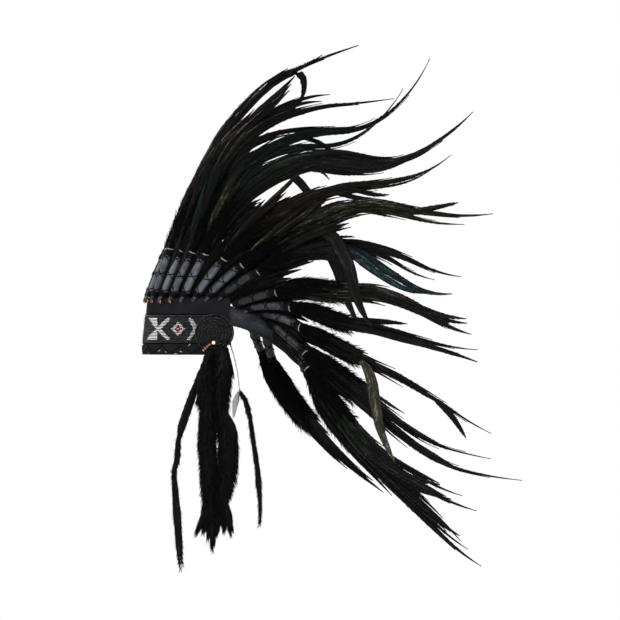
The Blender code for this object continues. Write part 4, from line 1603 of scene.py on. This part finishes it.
        for strand in STRANDS:
            self.strand(groups[self.row.sheen], self.path, sizes, strand, first, self.row.twist)
        other = Sheen.OLIVE if self.number % 2 else Sheen.BROWN
        for index in range(self.zone.hackles):
            self.hackle(group(other if index % 4 == 3 else self.row.sheen))
        if self.number < (10 if self.side is Side.RIGHT else 13):
            for share in steps(-1.0, 1.0, 6):
                self.backing(group(Sheen.BLACK), share)
        for shoot in OFFSHOOTS:
            if shoot.feather == self.number and self.side in shoot.sides:
                self.offshoot(group(shoot.sheen), shoot)
        for sheen, piece in groups.items():
            piece.finish("feather", sheen.value, self.node, sharp=180.0)

    def hackle(self, piece: Piece) -> None:
        """One short feather that springs from the down beside the long ones."""
        start = self.sleeve_length + self.draw.uniform(0.005, 0.080)
        length, width = self.draw.uniform(0.055, 0.105), self.draw.uniform(0.0055, 0.0092)
        opening = self.draw.uniform(*self.zone.opening)
        spot = self.spot(start)
        wide, deep = self.size_at(start)
        place = spot.off(self.side.value * opening / 30 * wide, deep * self.draw.uniform(-0.3, 0.45))
        turns = [math.radians(opening) * (0.5 + 0.7 * share) for share in steps(0.0, 1.0, 14)]
        self.ribbon(piece, self.fan(place, start, length, turns, width, self.narrowest), 2)

    def fan(
        self,
        place: Vector,
        start: float,
        length: float,
        turns: Sequence[float],
        width: float,
        narrowest: float,
    ) -> Line:
        """The line of a short feather that turns away from the long ones.

        Args:
            place: Where it springs from.
            start: How far up the feather that is.
            length: Its length.
            turns: How far it turns away at each of its even steps, in radians.
            width: Its greatest width.
            narrowest: Its least width.

        Returns:
            Its spots and widths.
        """
        line, count = [], len(turns) - 1
        for share, turn in zip(steps(0.0, 1.0, count), turns):
            here = self.spot(max(0.0, start + length * share))
            ahead = here.turned(self.side.value * turn).normalized()
            wide = max(narrowest, width * spread(LANCE, share)[0])
            line.append((Spot.facing(place, ahead, here.normal), wide))
            place = place + ahead * (length / count)
        return line

    def backing(self, piece: Piece, share: float) -> None:
        """One short feather behind the sleeve, which closes the gap to the next one.

        Args:
            piece: The piece that takes it.
            share: Its place across the sleeve, from -1 to 1.
        """
        start = self.draw.uniform(-0.010, -0.003)
        length = self.draw.uniform(*self.zone.backing) * (1.22 if 6 < self.number < 10 else 1.0)
        width = self.draw.uniform(0.0085, 0.0110)
        reach = self.backing_reach * share
        if self.number in (1, 2):
            reach = max(reach, -0.002)
        turn = math.radians(9.0) * reach / self.backing_reach
        place = self.spot(0.0).off(self.side.value * reach, -self.sleeve_diameter * 0.62, start)
        self.ribbon(piece, self.fan(place, start, length, [turn] * 10, width, self.narrowest_backing), 1)

    def offshoot(self, piece: Piece, shoot: Offshoot) -> None:
        """One quill that leaves the bundle.

        Args:
            piece: The piece that takes it.
            shoot: Its row.
        """
        base = self.path.at(shoot.leaves)
        length = shoot.length * self.full_length
        path = Path(base, self.side, length, shoot.headings, self.row.flare + shoot.flare)

        def sizes(distance: float) -> tuple[float, float]:
            wide = self.split_width * shoot.width - self.tip_width
            return self.tip_width + spread(SPLIT_WIDTHS, distance / length)[0] * wide, self.split_thickness

        for strand in SPLIT_STRANDS:
            self.strand(piece, path, sizes, strand, 0.0, shoot.twist)

    def build(self) -> None:
        """Make every piece of the feather."""
        self.sleeve()
        self.bindings()
        self.tie()
        if self.number in LACES:
            self.lace(LACES[self.number])
        self.down()
        self.vanes()


LONGEST_THREAD = 0.030
THREAD_SAG = 0.0012
SPACER_SIZE = 0.0008


def spacing_thread(feathers: Sequence[Feather]) -> None:
    """The pale thread that runs through the quills and keeps the feathers apart.

    Args:
        feathers: Neighbours in order, from the brow to the nape.
    """
    piece = Piece(f"spacing_thread_{feathers[-1].side.word}")
    places = [feather.spot(feather.sleeve_length + feather.spacer_rise).centre for feather in feathers]
    for before, after in zip(places, places[1:]):
        if (after - before).length > LONGEST_THREAD:
            continue
        shares = steps(0.0, 1.0, 6)
        points = [before.lerp(after, share) - UP * THREAD_SAG * math.sin(math.pi * share) for share in shares]
        piece.cord(points, SPACER_SIZE, UP, 5)
    piece.finish("feather", WHITE_THREAD, *(feather.node for feather in feathers), sharp=180.0)


LACES = {0: (-6.5, -2.6, 0.4, 3.6, 7.4), 1: (-1.6, 3.4), 2: (0.5,), 3: (0.2,), 4: (-0.6,)}


def random_turn(draw: random.Random, size: float) -> Vector:
    """A small random vector."""
    return Vector((draw.uniform(-size, size), draw.uniform(-size, size), draw.uniform(-size, size)))


BARB, TUFT = Template.hair(0.08), Template.hair(0.25)
BARB_WIDTH, BARB_DEPTH = 0.0008, 0.0004


def tuft(base: Vector, ahead: Vector, hint: Vector, length: float) -> Matrix:
    """Where one hair of down or fur stands."""
    return stand(base, ahead, hint, 0.0009, 0.0007, length)


# ---- Temples ----


@dataclass(frozen=True)
class FurRow:
    """One section of a fur strip, in shares of the strip's length and width."""

    down: float
    back: float
    width: float
    thickness: float


@dataclass(frozen=True)
class Lock:
    """A pointed lock at the foot of a fur strip."""

    back: float
    length: float
    width: float
    lean: float

    @property
    def along(self) -> Vector:
        """The way it hangs."""
        lean = math.radians(self.lean)
        return Vector((0, math.sin(lean), -math.cos(lean)))


LOCK_ROOT = 0.3
LOCK_SWELL = ((0.0, 0.7), (0.35, 1.0), (0.7, 0.6), (1.0, 0.05))


@dataclass
class Temple:
    """A rosette and all that hangs from it."""

    side: Side

    radius: float = 0.0255
    thickness: float = 0.0045
    dome: float = 0.0012
    angle: float = 87.0
    rise: float = 0.029
    shoulder: float = 0.95
    bead_radius: float = 0.0024
    bead_drop: float = 0.0135
    string_radius: float = 0.0016
    string_beads: int = 8
    string_thread: float = 0.0006
    seed_bead: float = 0.00178
    seed_width: float = 0.00104
    ring_pitch: float = 0.00204
    fur_length: float = 0.262
    fur_width: float = 0.0225
    fur_thickness: float = 0.0135
    fur_sway: float = 0.0012
    lock_length: float = 0.040
    hairs: int = 3200
    drop_length: float = 0.292
    drop_width: float = 0.0100
    drop_thickness: float = 0.0024
    drop_blade: float = 0.0010
    drop_shaft: float = 0.0011
    tie_width: float = 0.0060
    tie_thickness: float = 0.0014
    panel_wall: float = 0.0028

    FRONT_FUR = (
        FurRow(0.00, -0.14, 0.22, 0.45),
        FurRow(0.04, -0.28, 0.44, 0.60),
        FurRow(0.09, -0.46, 0.70, 0.80),
        FurRow(0.16, -0.50, 0.98, 1.00),
        FurRow(0.26, -0.50, 1.06, 1.00),
        FurRow(0.31, -0.38, 0.90, 0.90),
        FurRow(0.39, -0.42, 1.00, 1.00),
        FurRow(0.48, -0.47, 1.02, 1.00),
        FurRow(0.54, -0.38, 1.02, 1.00),
        FurRow(0.60, -0.36, 0.96, 1.00),
        FurRow(0.68, -0.33, 0.90, 1.00),
        FurRow(0.77, -0.30, 0.70, 0.90),
        FurRow(0.85, -0.33, 0.98, 0.90),
        FurRow(0.88, -0.35, 0.94, 0.70),
    )
    BACK_FUR = (
        FurRow(0.00, 0.42, 0.90, 0.45),
        FurRow(0.10, 0.53, 1.10, 0.90),
        FurRow(0.21, 0.43, 0.90, 1.00),
        FurRow(0.32, 0.33, 0.80, 1.00),
        FurRow(0.36, 0.50, 1.02, 1.00),
        FurRow(0.41, 0.74, 1.12, 1.00),
        FurRow(0.51, 0.80, 1.14, 1.00),
        FurRow(0.60, 0.77, 1.16, 1.00),
        FurRow(0.69, 0.65, 0.98, 1.00),
        FurRow(0.75, 0.47, 0.74, 0.90),
        FurRow(0.78, 0.39, 0.64, 0.80),
        FurRow(0.85, 0.52, 0.88, 0.80),
        FurRow(0.88, 0.55, 0.82, 0.60),
    )
    FRONT_LOCKS = (
        Lock(-0.72, 0.30, 0.44, -26),
        Lock(-0.50, 0.20, 0.34, -12),
        Lock(-0.12, 0.83, 0.50, 0),
        Lock(-0.30, 0.45, 0.36, -4),
    )
    BACK_LOCKS = (Lock(0.22, 0.28, 0.30, -6), Lock(0.56, 0.14, 0.30, 2), Lock(0.86, 0.26, 0.30, 10))
    FRONT_DROP = (
        (0.0385, -0.0300, 0.45), (0.126, -0.058, 0.78), (0.222, -0.094, 1.00), (0.308, -0.126, 1.25),
        (0.372, -0.147, 1.15), (0.4145, -0.157, 0.72), (0.447, -0.166, 0.53), (0.543, -0.173, 0.69),
        (0.585, -0.185, 0.46), (0.628, -0.184, 0.47), (0.692, -0.179, 0.66), (0.778, -0.171, 0.90),
        (0.853, -0.166, 0.81), (0.938, -0.161, 0.69), (0.990, -0.156, 0.40), (1.020, -0.153, 0.10),
    )
    BACK_DROP = (
        (0.2137, 0.110, 0.15), (0.265, 0.140, 0.56), (0.340, 0.161, 0.50), (0.457, 0.177, 0.50),
        (0.543, 0.190, 0.56), (0.628, 0.199, 0.75), (0.714, 0.206, 0.46), (0.788, 0.208, 0.22),
        (0.818, 0.205, 0.10),
    )
    TIE_RUN = ((0.010, 0.066, 0.60), (0.080, 0.086, 0.60), (0.150, 0.101, 0.50), (0.216, 0.110, 0.25))
    TIE_END = (
        (0.2137, 0.1095, 0.10), (0.236, 0.103, 0.60), (0.262, 0.0965, 1.05), (0.300, 0.0905, 0.60),
        (0.342, 0.0865, 0.08),
    )

    def __post_init__(self) -> None:
        """Find the rosette's seat and the plane that the drops hang in."""
        sign = self.side.value
        self.out = RING.outward(sign * self.angle)
        self.back = UP.cross(self.out).normalized() * sign
        self.fall = -self.out.cross(self.back).normalized() * sign
        self.middle = RING.point(sign * self.angle, self.rise, self.panel_wall + 2 * RING.gap)
        rim = self.point(0.0, self.radius * self.shoulder, self.thickness - self.dome)
        self.plane = abs(rim.x) + RING.gap
        self.outwards = Vector((sign, 0, 0))
        self.top = self.rise - self.bead_drop
        self.fur_middle = self.plane + self.fur_thickness / 2
        self.fur_top = self.top - 2 * self.bead_radius - self.string_radius
        self.draw = random.Random(70 + sign)

    def point(self, back: float, down: float, out: float) -> Vector:
        """A point measured on the rosette's face from the middle of its rear."""
        return self.middle + self.back * back + self.fall * down + self.out * out

    def surface(self, distance: float) -> float:
        """How far the domed face stands out at a distance from its middle."""
        return self.thickness - self.dome * (distance / self.radius) ** 2

    def rosette(self) -> None:
        """The disc of coiled beadwork on its leather backing."""
        name = self.side.word
        backing = Piece(f"rosette_backing_{name}")
        shape = backing.shape
        sunk = self.seed_bead * 0.75
        depth = self.thickness - self.dome - sunk
        low, high = self.radius * 0.98, self.radius * 0.97
        bmesh.ops.create_cone(shape, cap_ends=True, segments=64, radius1=low, radius2=high, depth=depth)
        rims = [edge for edge in shape.edges if len({round(v.co.z, 6) for v in edge.verts}) == 1]
        bmesh.ops.bevel(
            shape, geom=rims, offset=0.0005, segments=2, profile=0.5, affect="EDGES", material=-1
        )
        turned = stand(self.point(0, 0, depth / 2), self.out, self.back, 1.0, 1.0, 1.0)
        bmesh.ops.transform(shape, matrix=turned, verts=shape.verts)
        backing.finish("seed_beads", BACKING_LEATHER, f"rosette_{name}")
        piece = Piece(f"rosette_beads_{name}")
        places = [self.seed_place(0.0, 0.0)]
        rings = int((self.radius - self.seed_bead * 0.4) / self.ring_pitch)
        for ring in range(1, rings + 1):
            reach = ring * self.ring_pitch
            count = round(2 * math.pi * reach / (self.seed_bead * 0.9))
            first = self.draw.random()
            for index in range(count):
                place, shade = self.seed_place(reach, 2 * math.pi * (index + first) / count)
                # Painted highlights: every other ring of beads gets a high tint, so it shows lighter and
                # glints.
                places.append((place, 0.60 + 0.28 * shade if ring % 2 == 0 else 0.45 * shade))
        piece.stamp(Template.bead(), places)
        piece.finish("seed_beads", BLACK_GLASS, f"rosette_{name}", sharp=180.0)

    def seed_place(self, reach: float, turn: float) -> tuple[Matrix, float]:
        """Where one seed bead of the rosette lies, and its shade."""
        radial = self.back * math.cos(turn) + self.fall * math.sin(turn)
        tangent = self.fall * math.cos(turn) - self.back * math.sin(turn)
        grown = self.draw.uniform(0.97, 1.03) / 2
        height = self.surface(reach) - self.seed_bead * 0.5 + self.draw.uniform(-0.00005, 0.00005)
        base = self.middle + radial * reach + self.out * height
        tangent = tangent + random_turn(self.draw, 0.03)
        deep, wide = self.seed_bead * grown, self.seed_width * grown
        return stand(base, tangent, self.out, deep, wide, self.seed_bead * 0.43), self.draw.random()

    def bead(self) -> None:
        """The round yellow bead, and the string of small brown ones."""
        name = self.side.word
        piece = Piece(f"round_bead_{name}")
        lift = self.thickness + RING.gap + self.bead_radius
        shape = bmesh.new()
        bmesh.ops.create_uvsphere(shape, u_segments=24, v_segments=14, radius=1.0)
        size = self.bead_radius
        piece.stamp(
            Template(shape, lambda co: co.z * 0.5 + 0.5),
            [(stand(self.point(0, self.bead_drop, lift), self.back, self.out, size, size, size), 0.6)],
        )
        piece.finish("round_bead", YELLOW_GLASS, f"bead_{name}", sharp=180.0)
        string = Piece(f"string_of_beads_{name}")
        start, end = self.string_ends()
        out = self.thickness + RING.gap + self.string_radius
        count = self.string_beads
        places, thread = [], []
        back, fall = end[0] - start[0], end[1] - start[1]
        ahead = self.back * back + self.fall * fall
        pitch = ahead.length / count / 2
        for index in range(count):
            share = (index + 0.5) / count
            centre = self.point(start[0] + back * share, start[1] + fall * share**1.2, out)
            size = self.string_radius * self.draw.uniform(0.85, 1.0)
            places.append((stand(centre, ahead, self.out, size, size, pitch * 0.98), 0.1 + 0.9 * (index % 2)))
            thread.append(centre)
        string.stamp(Template.bead(12, 6), places)
        string.finish("string_beads", BROWN_GLASS, f"bead_string_{name}", sharp=180.0)
        cord = Piece(f"string_thread_{name}")
        cord.cord([self.point(0, self.bead_drop, lift), *thread], self.string_thread, self.out, 5)
        cord.finish("string_beads", GREY_THREAD, f"bead_string_{name}")

    def string_ends(self) -> tuple[tuple[float, float], tuple[float, float]]:
        """Where the string of beads starts and ends, back and down the rosette's face."""
        start = (-self.bead_radius - self.string_radius * 0.9, self.bead_drop + self.string_radius)
        return start, (-self.radius * 0.56, self.bead_drop + self.radius * 0.42)

    def hanging(self, x: float, back: float, down: float, along: Vector = -UP) -> Spot:
        """A spot in the plane of the drops."""
        sign = self.side.value
        return Spot.facing(Vector((sign * x, self.middle.y + back, down)), along, self.outwards)

    def pelt_at(self, rows: Sequence[FurRow], share: float, sway: float = 0.0) -> tuple[Spot, float, float]:
        """The middle, width and thickness of a fur strip.

        Args:
            rows: Its sections.
            share: How far down, as a share of fur_length.
            sway: How far it strays back there, in metres.

        Returns:
            The spot, the width and the thickness.
        """
        table = [(row.down, row.back, row.width, row.thickness) for row in rows]
        back, width, thickness = spread(table, share)
        depth = thickness * self.fur_thickness
        out = self.fur_middle - (self.fur_thickness - depth) / 2
        spot = self.hanging(out, back * self.fur_width + sway, self.fur_top - share * self.fur_length)
        return spot, width * self.fur_width, depth

    def fur(self, label: str, rows: Sequence[FurRow], locks: Sequence[Lock]) -> None:
        """One fur strip: its pelt, its locks and its hair.

        Args:
            label: The strip's name.
            rows: Its sections.
            locks: The locks at its foot.
        """
        name = f"{label}_{self.side.word}"
        piece = Piece(name)
        seed = self.draw.uniform(0, 60)
        tufts = FUR_LUMPS.relief(seed)
        stations = []
        for share in steps(0.0, rows[-1].down, 40):
            spot, width, depth = self.pelt_at(rows, share, self.fur_sway * wobble(seed, share * 14))
            stations.append(Station(spot, width, depth, share * self.fur_length))
        piece.sweep(stations, round_profile(18), 0.2, tufts)
        foot = self.fur_top - rows[-1].down * self.fur_length
        starts = [self.lock(piece, lock, foot, tufts) for lock in locks]
        places = self.pelt_hair(rows, seed)
        for lock, start in zip(locks, starts):
            places += self.lock_hair(lock, start)
        piece.stamp(TUFT, places)
        piece.finish("fur", FUR, name, sharp=180.0)

    def lock(self, piece: Piece, lock: Lock, foot: float, relief: Relief) -> Vector:
        """The body of one lock.

        Args:
            piece: The piece that takes it.
            lock: Its row.
            foot: The height of the strip's foot.
            relief: The lumps of its surface.

        Returns:
            Where it starts, inside the strip.
        """
        along, reach = lock.along, self.lock_length * (LOCK_ROOT + lock.length)
        root = self.hanging(self.fur_middle, lock.back * self.fur_width, foot).centre
        start = root - along * self.lock_length * LOCK_ROOT
        body = []
        for share in steps(0.0, 1.0, 12):
            swell = spread(LOCK_SWELL, share)[0]
            spot = Spot.facing(start + along * share * reach, along, self.outwards)
            width, depth = swell * lock.width * self.fur_width, swell * self.fur_thickness * 0.5
            body.append(Station(spot, width, depth, share * reach))
        piece.sweep(body, round_profile(10), 0.2, relief)
        return start

    def pelt_hair(self, rows: Sequence[FurRow], seed: float) -> list[tuple[Matrix, float]]:
        """Where the hairs of a fur strip stand, and their shades."""
        places = []
        for _ in range(self.hairs):
            share = self.draw.random() * rows[-1].down
            spot, width, depth = self.pelt_at(rows, share)
            turn = self.draw.uniform(0, 2 * math.pi)
            radial = spot.radial(turn, width, depth)
            clump = wobble(seed + 3, turn * 2 + share * 26)
            ahead = spot.along + radial.normalized() * (0.20 + 0.28 * self.draw.random() + 0.20 * clump)
            ahead += random_turn(self.draw, 0.16)
            length = self.draw.uniform(0.006, 0.013)
            places.append((tuft(spot.centre + radial * 0.42, ahead, -radial, length), self.draw.random()))
        return places

    def lock_hair(self, lock: Lock, start: Vector) -> list[tuple[Matrix, float]]:
        """Where the hairs of one lock stand, and their shades."""
        along, reach = lock.along, self.lock_length * (LOCK_ROOT + lock.length)
        across = Vector((0, along.z, -along.y))
        places = []
        for _ in range(self.hairs // 12):
            share = self.draw.uniform(0.05, 0.9)
            swell = 1.0 - share
            shift = across * self.draw.uniform(-0.5, 0.5) * lock.width * self.fur_width * swell
            out = self.side.value * self.draw.uniform(-0.4, 0.4) * self.fur_thickness * 0.5 * swell
            shift += Vector((out, 0, 0))
            ahead = along + shift.normalized() * 0.10 + random_turn(self.draw, 0.07)
            base = start + along * share * reach + shift
            place = tuft(base, ahead, -shift, self.draw.uniform(0.008, 0.016))
            places.append((place, self.draw.random()))
        return places

    def strip_stations(
        self, rows: Sequence[tuple[float, ...]], x: float, unit: float, depth: float, count: int
    ) -> list[Station]:
        """Stations of a thin strip that hangs through its rows.

        Args:
            rows: Down and back as shares of the drop's length, and width.
            x: How far out it hangs.
            unit: The width that the rows are shares of.
            depth: Its thickness.
            count: How many stations.

        Returns:
            The stations, from the top down.
        """
        shares = steps(rows[0][0], rows[-1][0], count)
        places = []
        for share in shares:
            back, width = spread(rows, share)
            places.append((back * self.drop_length, self.top - share * self.drop_length, width * unit))
        stations = []
        for index, (back, height, width) in enumerate(places):
            ahead, behind = places[min(index + 1, count)], places[max(index - 1, 0)]
            along = Vector((0, ahead[0] - behind[0], ahead[1] - behind[1])).normalized()
            run = (shares[index] - shares[0]) * self.drop_length
            stations.append(Station(self.hanging(x, back, height, along), width, depth, run))
        return stations

    def drops(self) -> None:
        """The two slim feathers and the suede tie of the rear one."""
        name = self.side.word
        x = self.plane + self.drop_thickness / 2 + RING.gap
        rear_x = x - self.drop_thickness - self.tie_thickness
        tie_x = rear_x + (self.drop_thickness + self.tie_thickness) / 2 + RING.gap
        for label, rows, place in (("front", self.FRONT_DROP, x), ("back", self.BACK_DROP, rear_x)):
            piece = Piece(f"slim_feather_{label}_{name}")
            self.slim(piece, self.strip_stations(rows, place, self.drop_width, self.drop_thickness, 60))
            piece.finish("feather", Sheen.BLACK.value, f"feather_drop_{label}_{name}", sharp=180.0)
        piece = Piece(f"suede_tie_{name}")
        profile = slab_profile(5, 0.12)
        piece.sweep(self.strip_stations(self.TIE_RUN, tie_x, self.tie_width, self.tie_thickness, 16), profile)
        piece.finish("suede", SUEDE, f"drop_tie_{name}")
        # The tie's loose end takes the darker suede, which paints shade on it.
        piece = Piece(f"suede_tie_end_{name}")
        wide = self.tie_width * 1.25
        piece.sweep(self.strip_stations(self.TIE_END, tie_x, wide, self.tie_thickness * 0.8, 14), profile)
        piece.finish("suede", SHADED_SUEDE, f"drop_tie_{name}")

    def slim(self, piece: Piece, stations: Sequence[Station]) -> None:
        """A stripped feather: a fine blade, its shaft and its loose barbs."""
        seed = self.draw.uniform(0, 40)
        blade, edges = [], []
        for station in stations:
            ragged = 0.80 + 0.18 * wobble(seed, station.run * 80) + 0.10 * wobble(seed + 4, station.run * 260)
            width = max(self.drop_blade, station.width * ragged)
            blade.append(Station(station.spot, width, self.drop_blade, station.run, width * 0.05))
            edges.append((station.spot, width))
        piece.sweep(blade, round_profile(8), 0.4)
        piece.cord([spot.off(0, 0.0004) for spot, _ in edges], self.drop_shaft, self.outwards, 4, 0.8)
        places = []
        for spot, width in edges[1:]:
            for sign in (1, -1):
                for _ in range(3):
                    turn = math.radians(self.draw.uniform(10, 30))
                    ahead = spot.turned(sign * turn)
                    out = sign * width * self.draw.uniform(0.1, 0.45)
                    base = spot.off(out, 0.0, self.draw.uniform(-0.002, 0.002))
                    length = self.draw.uniform(0.003, 0.008)
                    place = stand(base, ahead, spot.across * sign, BARB_WIDTH, BARB_DEPTH, length)
                    places.append((place, self.draw.random()))
        piece.stamp(BARB, places)

    def build(self) -> None:
        """Make every piece of the temple."""
        self.rosette()
        self.bead()
        self.fur("fur_drop_front", self.FRONT_FUR, self.FRONT_LOCKS)
        self.fur("fur_drop_back", self.BACK_FUR, self.BACK_LOCKS)
        self.drops()


# ---- Studio ----


@dataclass(frozen=True)
class Softbox:
    """One soft light that looks at the headdress."""

    place: tuple[float, float, float]
    size: float
    power: float
    aim: tuple[float, float, float] = (0.0, 0.12, 0.06)


@dataclass(frozen=True)
class Studio:
    """The pale floor, the soft light and the camera."""

    distance: float = 10.0
    near_plane: float = 0.08
    view_width: float = 0.8184
    middle_back: float = 0.1214
    middle_height: float = 0.0594
    sensor: float = 36.0
    floor_height: float = -0.9
    floor_radius: float = 9.0

    BOXES = (
        Softbox((5.0, -1.4, 2.4), 1.5, 330.0),
        Softbox((3.4, 3.0, 0.6), 1.8, 60.0),
        Softbox((0.4, 0.3, 3.4), 2.0, 60.0),
        Softbox((-4.4, -1.2, 2.0), 1.6, 220.0),
        Softbox((-1.5, 4.6, 1.6), 1.6, 120.0),
        Softbox((-0.6, -4.6, 1.0), 1.6, 90.0),
    )

    def camera(self) -> None:
        """Look at the wearer's left profile from far off."""
        data = bpy.data.cameras.new("view")
        data.sensor_width = self.sensor
        data.lens = self.sensor * (self.distance - self.near_plane) / self.view_width
        data.clip_end = 100.0
        camera = bpy.data.objects.new("view", data)
        camera.location = (self.distance, self.middle_back, self.middle_height)
        camera.rotation_euler = (math.radians(90), 0.0, math.radians(90))
        bpy.context.scene.collection.objects.link(camera)
        bpy.context.scene.camera = camera

    def floor(self) -> None:
        """A pale floor well below the drops."""
        shape = bmesh.new()
        bmesh.ops.create_circle(shape, cap_ends=True, segments=64, radius=self.floor_radius)
        bmesh.ops.translate(shape, verts=shape.verts, vec=(0.0, 0.0, self.floor_height))
        mesh = bpy.data.meshes.new("floor")
        shape.to_mesh(mesh)
        shape.free()
        board = Board("pale_floor")
        soft = board.noise(board.place(), 3.0, 3.0)
        pale = board.blend(soft, (0.86, 0.86, 0.86), (0.90, 0.90, 0.90))
        mesh.materials.append(board.finish(Base_Color=pale, Roughness=0.8 + soft * 0.1))
        floor = bpy.data.objects.new("floor", mesh)
        bpy.context.scene.collection.objects.link(floor)

    def light(self) -> None:
        """Softboxes, and a white surround that lights the headdress only a little."""
        for number, box in enumerate(self.BOXES):
            data = bpy.data.lights.new(f"softbox_{number}", "AREA")
            data.size, data.energy = box.size, box.power
            light = bpy.data.objects.new(data.name, data)
            light.location = box.place
            light.rotation_euler = (Vector(box.place) - Vector(box.aim)).to_track_quat("Z", "Y").to_euler()
            bpy.context.scene.collection.objects.link(light)
        world = bpy.data.worlds.new("surround")
        world.use_nodes = True
        tree = world.node_tree
        back = next(node for node in tree.nodes if node.type == "BACKGROUND")
        back.inputs["Color"].default_value = (1.0, 1.0, 1.0, 1.0)
        path = tree.nodes.new("ShaderNodeLightPath")
        level = tree.nodes.new("ShaderNodeMapRange")
        level.inputs["To Min"].default_value = 0.12
        level.inputs["To Max"].default_value = 1.0
        tree.links.new(path.outputs["Is Camera Ray"], level.inputs["Value"])
        tree.links.new(level.outputs["Result"], back.inputs["Strength"])
        bpy.context.scene.world = world

    def build(self) -> None:
        """Set up the whole studio."""
        self.camera()
        self.floor()
        self.light()
        bpy.context.scene.view_settings.view_transform = "Standard"


def main() -> None:
    """Build the studio and the headdress."""
    logging.basicConfig(level=logging.INFO, format="%(name)s: %(message)s")
    Studio().build()
    CrownBand().build()
    BeadPanel().build()
    NapeStrap().build()
    for side in Side:
        Temple(side).build()
    count = len(PLUMES) - 1
    angles = RING.feet(count)
    for side in Side:
        feathers = [Feather(0, Side.LEFT, 0.0)] if side is Side.LEFT else []
        feathers += [Feather(number, side, angles[number]) for number in range(1, count + 1)]
        for feather in feathers:
            feather.build()
        spacing_thread(feathers)


if __name__ == "__main__":
    main()
